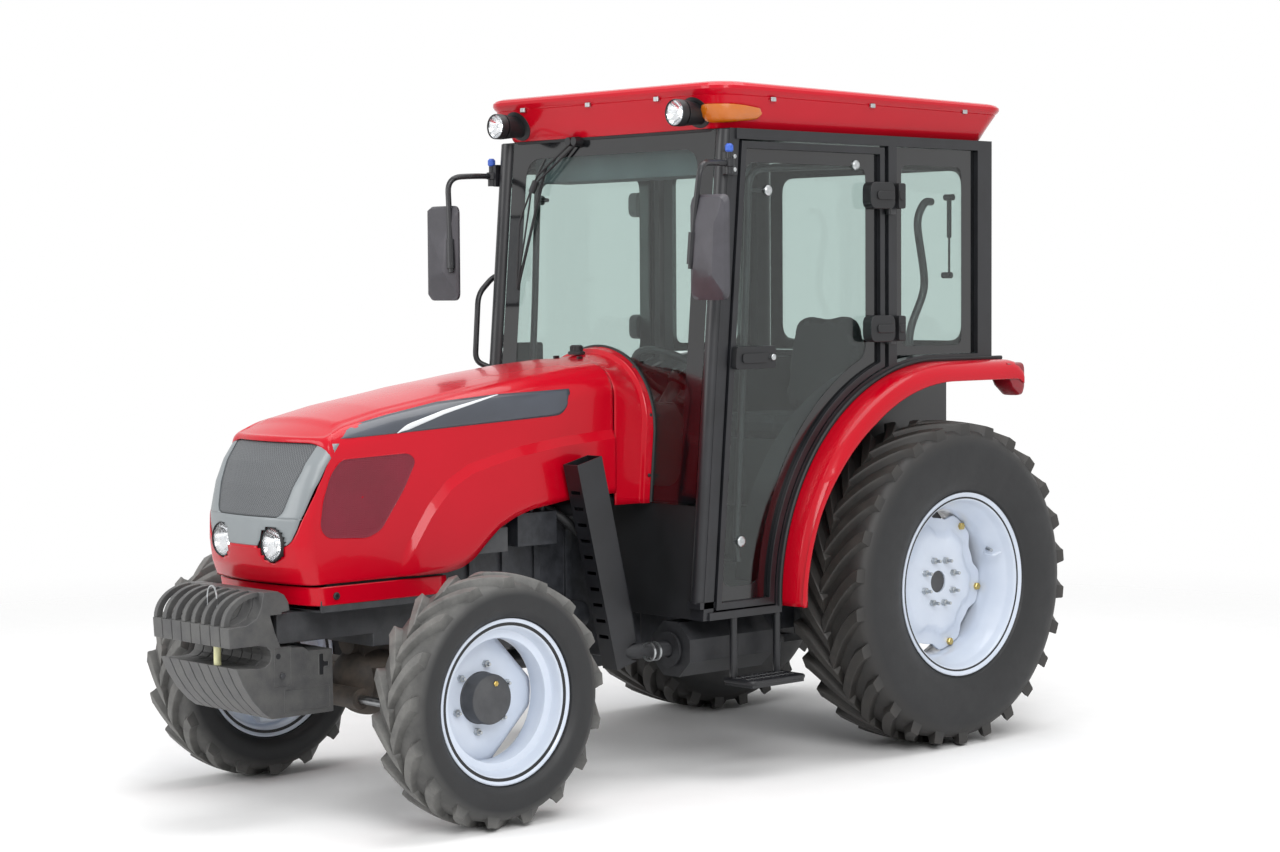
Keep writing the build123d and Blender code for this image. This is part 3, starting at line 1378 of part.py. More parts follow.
def arm_tip():
    """Where the lift rod hangs on the left lift arm: (y, z)."""
    rise = radians(arm_rise)
    return y_rear + rock_behind + arm_length * cos(rise), rock_z + arm_length * sin(rise)


def lift_arms():
    """Rock shaft with the two lift arms."""
    y, z = y_rear + rock_behind, rock_z
    tip_y, tip_z = arm_tip()
    body = rod_x(rock_radius, -link_x - arm_thickness / 2, link_x + arm_thickness / 2, y, z)
    for side in (-1, 1):
        x = side * link_x
        arm = bar((x, y, z), (x, tip_y, tip_z), arm_thickness, arm_height)
        arm = arm + rod_x(arm_height / 2 + 16, x - arm_thickness / 2, x + arm_thickness / 2, y, z)
        arm = arm + rod_x(arm_height / 2, x - arm_thickness / 2, x + arm_thickness / 2, tip_y, tip_z)
        pin = rod_x(rod_pin, x, side * (lift_rod_x + 22), tip_y, tip_z)
        body = body + arm + pin
    return body


def attach_point():
    """Where the lift rod meets the lower link at rest: (y, z)."""
    return y_rear + link_pivot_behind + link_attach, link_pivot_z


def lift_rod(side):
    """Lift rod between a lift arm and a lower link, with an open lower eye."""
    tip_y, tip_z = arm_tip()
    y, z = attach_point()
    x = side * lift_rod_x
    body = tube((x, tip_y, tip_z), (x, y, z), lift_rod_radius)
    body = body + rod_x(28, x - 15, x + 15, tip_y, tip_z) + rod_x(26, x - 15, x + 15, y, z)
    return body - rod_x(rod_pin + fit, x - 20, x + 20, tip_y, tip_z) - rod_x(rod_pin, x - 20, x + 20, y, z)


def lower_link(side):
    """Lower link with its ball end."""
    x = side * link_x
    y0 = y_rear + link_pivot_behind
    y1 = y_rear + rear_overhang - ball_radius
    z = link_pivot_z
    x0, x1 = x - link_thickness / 2, x + link_thickness / 2
    body = block(x0, x1, y0, y1 - 20, z - link_height / 2, z + link_height / 2)
    body = body + rod_x(link_height / 2 + 4, x0, x1, y0, z) + rod_x(ball_radius, x0 - 8, x1 + 8, y1, z)
    body = body - rod_x(link_pin + fit, x0 - 5, x1 + 5, y0, z)
    return body - rod_x(ball_bore, x0 - 20, x1 + 20, y1, z)


def top_link():
    """Top link, parked nearly upright on its pin."""
    lean = radians(top_link_lean)
    y0, z0 = y_rear + top_pivot_behind, top_pivot_z
    y1, z1 = y0 + top_link_length * sin(lean), z0 + top_link_length * cos(lean)
    body = tube((0, y0, z0), (0, y1, z1), top_link_radius)
    body = body + rod_x(top_eye_radius - 8, -18, 18, y0, z0) + rod_x(top_eye_radius, -22, 22, y1, z1)
    return body - rod_x(top_pin + fit, -30, 30, y0, z0) - rod_x(top_bore, -30, 30, y1, z1)


def pto_shaft():
    """Power take-off stub."""
    y0 = y_rear + rear_case_behind
    journal = rod_y(pto_journal, y0 - pto_in, y0 + pto_collar, 0, pto_z)
    return journal + rod_y(pto_radius, y0, y0 + pto_collar + pto_out, 0, pto_z)


def rear_axle_bored():
    """Rear axle with the bore of the power take-off."""
    y0 = y_rear + rear_case_behind
    return rear_axle() - rod_y(pto_journal + fit, y0 - pto_in - 2, y0 + 5, 0, pto_z)


def pair(part):
    """Left and right pieces as one node."""
    return Compound(children=list(both(part)))


os.makedirs("parts", exist_ok=True)

# Fixed pieces
save("front_frame", front_frame())
save("front_weights", front_weights())
save("engine", engine())
save("gearbox", gearbox())
save("drive_shaft", drive_shaft())
save("rear_axle", rear_axle_bored())
save("front_axle", front_axle())
save("front_fascia", front_fascia())
save("cowl", cowl())
save("windscreen", windscreen())
save("cab_walls", Compound(children=[firewall(), rear_panel()]))
save("cab_floor", cab_floor_plate())
save("cab_frame", cab_frame())
save("wheel_houses", pair(wheel_house()))
save("fenders", pair(fender()))
save("rear_lamps", pair(rear_lamp()))
save("cab_windows", Compound(children=[rear_window(), *both(side_window())]))
save("roof", roof())
save("roof_liner", roof_liner())
save("work_lamps", work_lamps())
save("signal_lamps", signal_lamps())
save("exhaust_guard", exhaust_guard())
save("exhaust", exhaust())
save("steps", pair(steps()))
save("mirrors", pair(mirror_piece()))
save("seat_base", seat_base())
save("seat_cushion", seat_cushion())
save("seat_back", seat_back())
save("dashboard", dashboard())
save("drawbar", drawbar())
save("hitch_frame", hitch_frame())

# Hood
save("hood", hood())
save("grille", grille())
save("headlamps", headlamps())

# Doors, wheels and steering, left and right
for name, part in (("door", door()), ("door_glass", door_glass()), ("knuckle", knuckle()),
                   ("front_rim", front_rim()), ("front_tyre", front_tyre()), ("front_hub", front_hub()),
                   ("rear_rim", rear_rim()), ("rear_tyre", rear_tyre()), ("rear_hub", rear_hub())):
    left, right = both(part)
    save(f"{name}_left", left)
    save(f"{name}_right", right)
save("steering_rod", steering_rod())
save("steering_wheel", steering_wheel())

# Hitch and power take-off
save("lift_arms", lift_arms())
save("lift_rods", Compound(children=[lift_rod(-1), lift_rod(1)]))
save("lower_links", Compound(children=[lower_link(-1), lower_link(1)]))
save("top_link", top_link())
save("pto_shaft", pto_shaft())
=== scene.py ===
# %% [markdown]
# # A farm tractor with a cab
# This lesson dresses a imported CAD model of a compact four-wheel-drive tractor. The CAD gives every
# part's place, in metres: +Z is up, the front faces -Y, and the tractor's left side is +X.
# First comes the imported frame. Each later piece names the body that it moves with.

import json

import bmesh
import bpy
import numpy as np
from mathutils import Matrix, Vector

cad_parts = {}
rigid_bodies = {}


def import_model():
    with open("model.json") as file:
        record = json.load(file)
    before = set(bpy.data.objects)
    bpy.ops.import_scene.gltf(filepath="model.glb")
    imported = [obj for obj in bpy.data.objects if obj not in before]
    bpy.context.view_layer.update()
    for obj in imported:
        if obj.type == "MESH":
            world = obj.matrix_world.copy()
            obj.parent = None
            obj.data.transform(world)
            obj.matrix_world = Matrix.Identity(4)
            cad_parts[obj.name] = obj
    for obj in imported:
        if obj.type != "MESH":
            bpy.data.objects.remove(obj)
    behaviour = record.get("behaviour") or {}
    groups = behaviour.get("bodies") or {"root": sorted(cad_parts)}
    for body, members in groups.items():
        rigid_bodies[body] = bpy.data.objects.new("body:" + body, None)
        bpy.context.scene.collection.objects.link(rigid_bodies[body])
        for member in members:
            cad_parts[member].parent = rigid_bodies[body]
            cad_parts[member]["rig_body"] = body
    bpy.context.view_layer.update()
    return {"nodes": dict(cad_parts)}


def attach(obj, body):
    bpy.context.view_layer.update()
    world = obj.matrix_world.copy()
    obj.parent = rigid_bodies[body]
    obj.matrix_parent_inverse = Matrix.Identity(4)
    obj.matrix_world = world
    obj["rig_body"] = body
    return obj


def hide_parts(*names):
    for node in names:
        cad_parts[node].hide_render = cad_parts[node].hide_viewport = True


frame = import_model()
print("CAD nodes:", len(frame["nodes"]))

# %% [markdown]
# ## Numbers that the whole tractor shares
# The axles, the wheels' planes and the cab's main sizes repeat what the CAD says. Lengths are in
# metres. `ahead(d)` is the y of a point d metres ahead of the rear axle, as a tractor is measured.

# %% Shared sizes
REAR_Y, FRONT_Y = 0.9475, -1.1675
REAR_Z, FRONT_Z = 0.587, 0.394
tau = 2 * np.pi


def ahead(distance):
    """y of a point that lies distance metres ahead of the rear axle."""
    return REAR_Y - distance


def arr(*rows):
    """Rows of numbers as a float array."""
    return np.array(rows, float)


# %% [markdown]
# ## Camera
# The photograph was taken from the front left with a longish lens, a little above the hood. Yaw,
# pitch and roll were worked out from pairs of points that are alike left and right.

# %% Camera
yaw, pitch, roll = -0.8213, -0.0521, -0.0063
look = arr(np.sin(yaw) * np.cos(pitch), np.cos(yaw) * np.cos(pitch), np.sin(pitch))
flat_right = np.cross(look, (0, 0, 1))
flat_right /= np.linalg.norm(flat_right)
flat_up = np.cross(flat_right, look)
right = flat_right * np.cos(roll) + flat_up * np.sin(roll)
up = flat_up * np.cos(roll) - flat_right * np.sin(roll)
camera_data = bpy.data.cameras.new("camera")
camera_data.sensor_fit, camera_data.sensor_width, camera_data.lens = "HORIZONTAL", 36.0, 36.0 * 2603 / 1280
camera_data.clip_end = 200
camera = bpy.data.objects.new("camera", camera_data)
turn = Matrix(np.stack([right, up, -look], 1).tolist()).to_4x4()
camera.matrix_world = Matrix.Translation((6.780, -6.2585, 1.651)) @ turn
bpy.context.scene.collection.objects.link(camera)
bpy.context.scene.camera = camera
print("lens:", round(camera_data.lens, 2), "mm")

# %% [markdown]
# ## Materials: two small helpers
# `linear` turns a screen colour into the linear numbers a shader needs. `put` adds one node with its
# settings and its links. Every material below is a chain of a few such nodes.

# %% Colour and node helpers


def linear(code, alpha=1.0):
    """sRGB hex to linear RGBA, by the sRGB curve."""
    s = np.array([int(code[i:i + 2], 16) for i in (1, 3, 5)]) / 255
    low, high = s / 12.92, ((s + 0.055) / 1.055) ** 2.4
    return (*np.where(s <= 0.04045, low, high).tolist(), alpha)


def put(material, kind, settings=None, links=None):
    """Adds a shader node; settings are attributes or socket values, links feed sockets by name."""
    made = material.node_tree.nodes.new("ShaderNode" + kind)
    for key, value in (settings or {}).items():
        if isinstance(key, str) and hasattr(made, key):
            setattr(made, key, value)
        else:
            made.inputs[key].default_value = value
    for key, source in (links or {}).items():
        material.node_tree.links.new(source, made.inputs[key])
    return made


def start(name):
    """Empty material with its output node."""
    material = bpy.data.materials.new(name)
    material.use_nodes = True
    material.node_tree.nodes.clear()
    return material, put(material, "OutputMaterial")


def finish(material, out, shader):
    """Links the last shader to the output."""
    material.node_tree.links.new(shader.outputs[0], out.inputs["Surface"])
    return material


def place(material, size=(1, 1, 1), turned=(0, 0, 0)):
    """Object coordinates, in metres, times size."""
    where = put(material, "TexCoord")
    return put(material, "Mapping", {"Scale": size, "Rotation": turned}, {"Vector": where.outputs["Object"]})


def mottled(name, colours, grain, roughness, metallic=0.0, coat=0.0, bump=0.0, bump_grain=None, extra=None,
            stretch=(1, 1, 1), spread=(0.35, 0.65)):
    """Painted, moulded or cast surface: two colours mottled by noise of grain mm, with roughness
    between two values and a bump of bump mm from finer noise of bump_grain mm."""
    m, out = start(name)
    where = place(m, stretch)
    patch = put(m, "TexNoise", {"Scale": 1000 / grain, "Detail": 4.0, "Roughness": 0.6},
                {"Vector": where.outputs[0]})
    mix = put(m, "ValToRGB", links={"Fac": patch.outputs["Fac"]})
    mix.color_ramp.elements[0].position, mix.color_ramp.elements[1].position = spread
    mix.color_ramp.elements[0].color, mix.color_ramp.elements[1].color = linear(colours[0]), linear(colours[1])
    rough = put(m, "MapRange", {"To Min": roughness[0], "To Max": roughness[1]}, {"Value": patch.outputs["Fac"]})
    shader = put(m, "BsdfPrincipled", {"Metallic": metallic, "Coat Weight": coat, "Coat Roughness": 0.04},
                 {"Base Color": mix.outputs["Color"], "Roughness": rough.outputs["Result"]})
    for key, value in (extra or {}).items():
        shader.inputs[key].default_value = value
    if bump:
        fine = put(m, "TexNoise", {"Scale": 1000 / (bump_grain or grain), "Detail": 3.0},
                   {"Vector": where.outputs[0]})
        raised = put(m, "Bump", {"Strength": 1.0, "Distance": bump / 1000}, {"Height": fine.outputs["Fac"]})
        m.node_tree.links.new(raised.outputs[0], shader.inputs["Normal"])
    return finish(m, out, shader)


# %% [markdown]
# ## Floor, sky and lamps
# A plain pale floor that fades into a white sky, and three big soft lamps. The sky looks white to the
# camera, in glossy paint and through glass, but lights the tractor more gently than that.

# %% Stage
world = bpy.data.worlds.new("studio")
bpy.context.scene.world = world
world.use_nodes = True
world.node_tree.nodes.clear()
world_out = put(world, "OutputWorld")
path = put(world, "LightPath")
seen = put(world, "Math", {"operation": "ADD"},
           {0: path.outputs["Is Camera Ray"], 1: path.outputs["Is Transmission Ray"]})
seen = put(world, "Math", {"operation": "ADD", "use_clamp": True},
           {0: seen.outputs[0], 1: path.outputs["Is Glossy Ray"]})
level = put(world, "MapRange", {"To Min": 0.62, "To Max": 1.0}, {"Value": seen.outputs[0]})
sky = put(world, "Background", {"Color": (1, 1, 1, 1)}, {"Strength": level.outputs["Result"]})
world.node_tree.links.new(sky.outputs[0], world_out.inputs["Surface"])

floor_paint, floor_out = start("pale_studio_floor")
spot = put(floor_paint, "TexCoord")
away = put(floor_paint, "VectorMath", {"operation": "LENGTH"}, {0: spot.outputs["Object"]})
fade = put(floor_paint, "MapRange", {"From Min": 3.0, "From Max": 7.0, "interpolation_type": "SMOOTHSTEP"},
           {"Value": away.outputs["Value"]})
grit = put(floor_paint, "TexNoise", {"Scale": 9.0, "Detail": 3.0}, {"Vector": spot.outputs["Object"]})
tone = put(floor_paint, "MapRange", {"To Min": 0.93, "To Max": 0.97}, {"Value": grit.outputs["Fac"]})
matt = put(floor_paint, "BsdfDiffuse", links={"Color": tone.outputs["Result"]})
clear = put(floor_paint, "BsdfTransparent")
blend = put(floor_paint, "MixShader", links={0: fade.outputs["Result"], 1: matt.outputs[0], 2: clear.outputs[0]})
finish(floor_paint, floor_out, blend)
bpy.ops.mesh.primitive_grid_add(x_subdivisions=8, y_subdivisions=8, size=20)
floor = bpy.context.object
floor.name = "studio_floor"
floor.data.materials.append(floor_paint)

for name, spot_at, aim, size, watts in (
        ("key", (7.0, -4.5, 6.0), (0, -0.2, 0.9), 5.0, 430),
        ("fill", (-3.0, -8.0, 4.0), (0, -0.4, 0.9), 5.0, 230),
        ("top", (0.5, 0.8, 7.0), (0, 0.2, 1.2), 6.0, 260)):
    lamp = bpy.data.lights.new(name, "AREA")
    lamp.shape, lamp.size, lamp.energy = "DISK", size, watts
    holder = bpy.data.objects.new(name, lamp)
    holder.location = spot_at
    holder.rotation_euler = (Vector(aim) - Vector(spot_at)).to_track_quat("-Z", "Y").to_euler()
    bpy.context.scene.collection.objects.link(holder)
bpy.context.scene.view_settings.view_transform = "Standard"

# %% [markdown]
# ## From arrays to pieces
# A surface is an n by m grid of points worked out with numpy. `grid` lists its quads, `piece` joins
# several such shapes into one object, smooths it with crisp edges kept, and lets it ride on a body.

# %% Mesh helpers


def grid(P, wrap=False, flip=False):
    """Quads between neighbouring points of an n by m grid; wrap joins the last column to the first."""
    n, m = P.shape[:2]
    i, j = np.meshgrid(np.arange(n - 1), np.arange(m if wrap else m - 1), indexing="ij")
    k = (j + 1) % m
    quads = np.stack([i * m + j, (i + 1) * m + j, (i + 1) * m + k, i * m + k], -1).reshape(-1, 4)
    return P.reshape(-1, 3), [quads[:, ::-1] if flip else quads]


def closed(P, flip=False):
    """A wrapped grid whose first and last rows are capped, so that it holds air."""
    V, F = grid(P, True, flip)
    n, m = P.shape[:2]
    first, last = np.arange(m)[None, :], (n - 1) * m + np.arange(m)[None, ::-1]
    return V, F + ([first[:, ::-1], last[:, ::-1]] if flip else [first, last])


def lathe(profile, centre, steps=64, axis=0):
    """Turns (along, radius) points about an axis through centre; both ends are capped."""
    profile = np.asarray(profile, float)
    a = np.arange(steps) / steps * tau
    ring = np.stack([np.broadcast_to(profile[:, :1], (len(profile), steps)),
                     profile[:, 1:] * np.cos(a), profile[:, 1:] * np.sin(a)], -1)
    return closed(np.roll(ring, axis, -1) + np.asarray(centre, float))


def ring_of(profile, centre, steps=64, axis=0):
    """Turns a closed (along, radius) outline about an axis, so that it leaves the middle open."""
    profile = np.asarray(profile, float)
    a = np.arange(steps + 1) / steps * tau
    P = np.stack([np.broadcast_to(profile[None, :, 0], (steps + 1, len(profile))),
                  profile[None, :, 1] * np.cos(a)[:, None], profile[None, :, 1] * np.sin(a)[:, None]], -1)
    P = (np.roll(P, axis, -1) + np.asarray(centre, float))[:-1]
    n, m = P.shape[:2]
    i, j = np.meshgrid(np.arange(n), np.arange(m), indexing="ij")
    k, l = (i + 1) % n, (j + 1) % m
    return P.reshape(-1, 3), [np.stack([i * m + j, k * m + j, k * m + l, i * m + l], -1).reshape(-1, 4)]


def bent(points, radius=0.03, steps=5):
    """Path with its corners rounded: each corner becomes a parabola that starts radius before it."""
    P = np.asarray(points, float)
    out = [P[:1]]
    t = np.linspace(0, 1, steps + 1)[:, None]
    for a, b, c in zip(P[:-2], P[1:-1], P[2:]):
        la, lc = np.linalg.norm(a - b), np.linalg.norm(c - b)
        start_at = b + (a - b) * min(radius / la, 0.48)
        end_at = b + (c - b) * min(radius / lc, 0.48)
        out.append((1 - t) ** 2 * start_at + 2 * t * (1 - t) * b + t ** 2 * end_at)
    return np.concatenate(out + [P[-1:]])


def pipe(path, radius, sides=12, flat=1.0, hint=(0, 0, 1)):
    """Round or flattened bar along a path: each ring stands square to the path's direction."""
    P = np.asarray(path, float)
    way = np.gradient(P, axis=0)
    way /= np.linalg.norm(way, axis=1, keepdims=True)
    hint = np.asarray(hint, float)
    if np.abs(way @ hint).max() > 0.97:
        hint = arr(0.3, 0.9, 0.1) if abs(hint[2]) > 0.5 else arr(0.1, 0.3, 0.9)
    one = np.cross(way, hint)
    one /= np.linalg.norm(one, axis=1, keepdims=True)
    two = np.cross(one, way)
    a = np.arange(sides) / sides * tau
    r = np.broadcast_to(np.asarray(radius, float), (len(P),))[:, None, None]
    rings = P[:, None] + r * (np.cos(a)[None, :, None] * one[:, None] + flat * np.sin(a)[None, :, None] * two[:, None])
    return closed(rings, flip=True)


def box(low, high):
    """Plain box between two corners, for pieces whose edges a Bevel modifier rounds."""
    low, high = np.minimum(low, high), np.maximum(low, high)
    pick = arr([0, 0, 0], [1, 0, 0], [1, 1, 0], [0, 1, 0], [0, 0, 1], [1, 0, 1], [1, 1, 1], [0, 1, 1])
    V = low + pick * (high - low)
    return V, [np.array([[0, 3, 2, 1], [4, 5, 6, 7], [0, 1, 5, 4], [1, 2, 6, 5], [2, 3, 7, 6], [3, 0, 4, 7]])]


def plate(outline, low, high, axis=0):
    """A flat outline carried from low to high along an axis; the outline's two numbers are the
    other two coordinates, in the order x, y, z."""
    O = np.asarray(outline, float)
    area = (O[:, 0] * np.roll(O[:, 1], -1) - np.roll(O[:, 0], -1) * O[:, 1]).sum()
    if (area < 0) != (axis == 1):
        O = O[::-1]
    other = [k for k in range(3) if k != axis]
    P = np.zeros((2, len(O), 3))
    P[..., other] = O
    P[0, :, axis], P[1, :, axis] = low, high
    return closed(P, flip=True)


def mirrored(shape):
    """The shape's twin on the other side of the plane x = 0, with its faces turned round."""
    V, F = shape
    return V * arr(-1, 1, 1), [f[:, ::-1] for f in F]


def moved(shape, shift=(0, 0, 0), turn=None, centre=(0, 0, 0)):
    """The shape turned by a 3 by 3 matrix about centre, then shifted."""
    V, F = shape
    c = np.asarray(centre, float)
    if turn is not None:
        V = (V - c) @ np.asarray(turn, float).T + c
    return V + np.asarray(shift, float), F


def spin(angle, axis=0):
    """Matrix that turns by angle about a coordinate axis."""
    c, s = np.cos(angle), np.sin(angle)
    M = np.eye(3)
    i, j = [(1, 2), (2, 0), (0, 1)][axis]
    M[i, i], M[i, j], M[j, i], M[j, j] = c, -s, s, c
    return M


def piece(name, body, *groups, replaces=(), sharp=32, bevel=0.0, segments=2, smooth=True):
    """One object from (material, shapes) groups, riding on body. Edges sharper than sharp degrees stay
    crisp, or are rounded by bevel metres."""
    points, faces, marks, count = [], [], [], 0
    mesh = bpy.data.meshes.new(name)
    for index, (material, shapes) in enumerate(groups):
        mesh.materials.append(material)
        for V, F in shapes:
            points.append(V)
            for rows in F:
                faces += (rows + count).tolist()
                marks.append(np.full(len(rows), index))
            count += len(V)
    mesh.from_pydata(np.concatenate(points).tolist(), [], faces)
    mesh.polygons.foreach_set("material_index", np.concatenate(marks).astype(np.int32))
    if smooth:
        mesh.shade_smooth()
        mesh.set_sharp_from_angle(angle=np.radians(sharp))
    made = bpy.data.objects.new(name, mesh)
    bpy.context.scene.collection.objects.link(made)
    if bevel:
        round_edges = made.modifiers.new("rounded", "BEVEL")
        round_edges.width, round_edges.segments, round_edges.limit_method = bevel, segments, "ANGLE"
        round_edges.angle_limit, round_edges.harden_normals = np.radians(sharp), True
    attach(made, body)
    if replaces:
        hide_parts(*replaces)
    return made


def dressed(node, material, bevel=0.0015, sharp=28):
    """A copy of a CAD node whose loose triangles are merged back into whole faces, with its edges
    rounded by bevel metres, so that they catch the light as cast and bent metal does."""
    source = frame["nodes"][node]
    mesh = source.data.copy()
    mesh.materials.clear()
    mesh.materials.append(material)
    work = bmesh.new()
    work.from_mesh(mesh)
    bmesh.ops.remove_doubles(work, verts=work.verts, dist=0.00002)
    bmesh.ops.dissolve_limit(work, angle_limit=0.004, verts=work.verts, edges=work.edges)
    work.to_mesh(mesh)
    work.free()
    mesh.shade_smooth()
    mesh.set_sharp_from_angle(angle=np.radians(sharp))
    made = bpy.data.objects.new(node + "_finished", mesh)
    bpy.context.scene.collection.objects.link(made)
    if bevel:
        round_edges = made.modifiers.new("rounded", "BEVEL")
        round_edges.width, round_edges.segments, round_edges.limit_method = bevel, 2, "ANGLE"
        round_edges.angle_limit, round_edges.use_clamp_overlap = np.radians(sharp), True
        round_edges.harden_normals = True
    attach(made, source["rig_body"])
    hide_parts(node)
    return made


def through(x, points, smooth=0):
    """Values at x on a curve through (x, value) points: straight runs, softened by smooth rounds of
    averaging neighbours."""
    points = np.asarray(points, float)
    order = np.argsort(points[:, 0])
    fine = np.linspace(points[:, 0].min(), points[:, 0].max(), 241)
    value = np.interp(fine, points[order, 0], points[order, 1])
    for _ in range(smooth):
        value[1:-1] = (value[:-2] + 2 * value[1:-1] + value[2:]) / 4
    return np.interp(x, fine, value)
# %% [markdown]
# ## The finishes
# Two-pack red enamel under a clear coat, black powder coat on steel tube, grey-black chassis paint on
# castings, white rim enamel, tyre rubber, tinted glass with a fired-on black border, and a handful of
# plastics. Each is named for the real material, with its pattern's size in millimetres.

# %% Paints, metals and plastics
red_enamel = mottled("red_enamel_sprayed", ("#b80019", "#c2021f"), 900, (0.20, 0.28), coat=0.28, bump=0.02,
                     bump_grain=7, extra={"Specular IOR Level": 0.16})
dark_red_mesh = mottled("dark_red_perforated_steel", ("#63051a", "#7a0a22"), 300, (0.4, 0.5), bump=0.2,
                        bump_grain=6)
black_powder = mottled("black_powder_coated_steel", ("#17181b", "#1f2024"), 120, (0.32, 0.42), bump=0.06,
                       bump_grain=1.6, extra={"IOR": 1.5})
chassis_grey = mottled("chassis_grey_paint_on_castings", ("#3a3b3e", "#4a4b4d"), 90, (0.42, 0.6), bump=0.5,
                       bump_grain=4)
weight_grey = mottled("weight_grey_paint_on_iron", ("#474748", "#565655"), 70, (0.4, 0.55), bump=0.7,
                      bump_grain=5)
dusty_iron = mottled("dusty_axle_paint", ("#3b3632", "#544b43"), 60, (0.6, 0.8), bump=0.6, bump_grain=5)
engine_paint = mottled("dark_engine_paint", ("#202226", "#33353a"), 45, (0.35, 0.6), bump=0.5, bump_grain=4)
pump_alloy = mottled("cast_aluminium", ("#6f7276", "#8a8c8e"), 35, (0.35, 0.55), metallic=0.8, bump=0.3,
                     bump_grain=3)
white_rim = mottled("white_wheel_enamel", ("#c8d1df", "#d2dae6"), 260, (0.25, 0.36), coat=0.4, bump=0.03,
                    bump_grain=9)
sooty_black = mottled("sooty_exhaust_paint", ("#1c1d20", "#2a2b2e"), 55, (0.45, 0.65), bump=0.3, bump_grain=3)
soft_black = mottled("grained_black_plastic", ("#141517", "#1c1d20"), 150, (0.45, 0.6), bump=0.15, bump_grain=1.8)
mirror_shell = mottled("mirror_housing_plastic", ("#39383d", "#45444a"), 120, (0.42, 0.5), bump=0.1, bump_grain=1.5)
cab_grey = mottled("grey_cab_lining", ("#4c5659", "#5a6468"), 200, (0.6, 0.75), bump=0.2, bump_grain=2.5)
surround_grey = mottled("grey_grille_surround", ("#7d8386", "#878d90"), 300, (0.35, 0.45), coat=0.15, bump=0.03,
                        bump_grain=3)
zinc = mottled("yellow_zinc_plate", ("#b59a55", "#cdbb7c"), 12, (0.25, 0.4), metallic=0.9)
bright_zinc = mottled("bright_zinc_plate", ("#a9adaf", "#c6c9ca"), 10, (0.22, 0.38), metallic=0.95)
bare_steel = mottled("machined_steel", ("#8c8e90", "#a3a5a6"), 14, (0.25, 0.45), metallic=1.0, bump=0.05,
                     bump_grain=1.5)
chrome = mottled("reflector_chrome", ("#d9dcdf", "#eceef0"), 20, (0.04, 0.1), metallic=1.0)
pale_yellow = mottled("pale_yellow_paint", ("#d8d6a0", "#e3e2b4"), 30, (0.45, 0.6))
orange_knob = mottled("orange_plastic", ("#d9641c", "#e4722a"), 30, (0.35, 0.5), bump=0.1, bump_grain=2)
blue_plastic = mottled("blue_plastic", ("#2f57b8", "#3b66c8"), 30, (0.35, 0.5))
hose_rubber = mottled("hose_rubber", ("#131416", "#1d1e20"), 30, (0.5, 0.7), bump=0.2, bump_grain=2)
print("plain finishes:", len(bpy.data.materials))

# %% [markdown]
# ## Tyre rubber
# Carbon-black rubber is dark and half matt. On the tread it turns pale and grey, partly from dust and partly
# as a painted sheen, on the ridge tops and between the lugs, so the colour also follows the distance from the axle.

# %% Rubber


def rubber(name, axle_z, tread_from, tread_to, dust_and_sheen_colour):
    """Dark rubber that turns to a paler colour, dust with a painted sheen, between two distances from the axle, by
    noise.
    """
    m, out = start(name)
    where = put(m, "TexCoord")
    patch = put(m, "TexNoise", {"Scale": 14.0, "Detail": 5.0, "Roughness": 0.65}, {"Vector": where.outputs["Object"]})
    fine = put(m, "TexNoise", {"Scale": 420.0, "Detail": 2.0}, {"Vector": where.outputs["Object"]})
    flat = put(m, "Mapping", {"Location": (0, 0, -axle_z), "Scale": (0, 1, 1)}, {"Vector": where.outputs["Object"]})
    reach = put(m, "VectorMath", {"operation": "LENGTH"}, {0: flat.outputs[0]})
    zone = put(m, "MapRange", {"From Min": tread_from, "From Max": tread_to}, {"Value": reach.outputs["Value"]})
    # the paler tread colour is partly dust and partly painted sheen
    dust_and_sheen = put(m, "Math", {"operation": "MULTIPLY"}, {0: zone.outputs["Result"], 1: patch.outputs["Fac"]})
    colour = put(m, "Mix", {"data_type": "RGBA", 6: linear("#17181a"), 7: linear(dust_and_sheen_colour)}, {0: dust_and_sheen.outputs[0]})
    rough = put(m, "MapRange", {"To Min": 0.42, "To Max": 0.7}, {"Value": patch.outputs["Fac"]})
    raised = put(m, "Bump", {"Strength": 0.6, "Distance": 0.0006}, {"Height": fine.outputs["Fac"]})
    shader = put(m, "BsdfPrincipled", {"IOR": 1.52}, {"Base Color": colour.outputs[2], "Normal": raised.outputs[0],
                                                      "Roughness": rough.outputs["Result"]})
    return finish(m, out, shader)


# The wheels turn about their own axles, but the pattern is laid in the rest pose, so the rear and the
# front wheels need their own height and length offset; the offset in y is in the mapping's place.
rear_rubber = rubber("rear_tyre_rubber", 0, 0.50, 0.60, "#4a4641")
front_rubber = rubber("front_tyre_rubber", 0, 0.33, 0.40, "#8d8c88")
for m, y, z in ((rear_rubber, REAR_Y, REAR_Z), (front_rubber, FRONT_Y, FRONT_Z)):
    turn_node = next(n for n in m.node_tree.nodes if n.bl_idname == "ShaderNodeMapping")
    turn_node.inputs["Location"].default_value = (0, -y, -z)

# %% [markdown]
# ## Tractor tyres
# A drive tyre has a smooth round carcass and deep curved bars, the lugs, that meet the middle in a
# chevron. Left and right lugs are half a pitch apart. The carcass is a turned profile; a lug is a
# trapezoid carried along a curved path on it, from just past the middle, out over the shoulder.

# %% Carcass and lugs


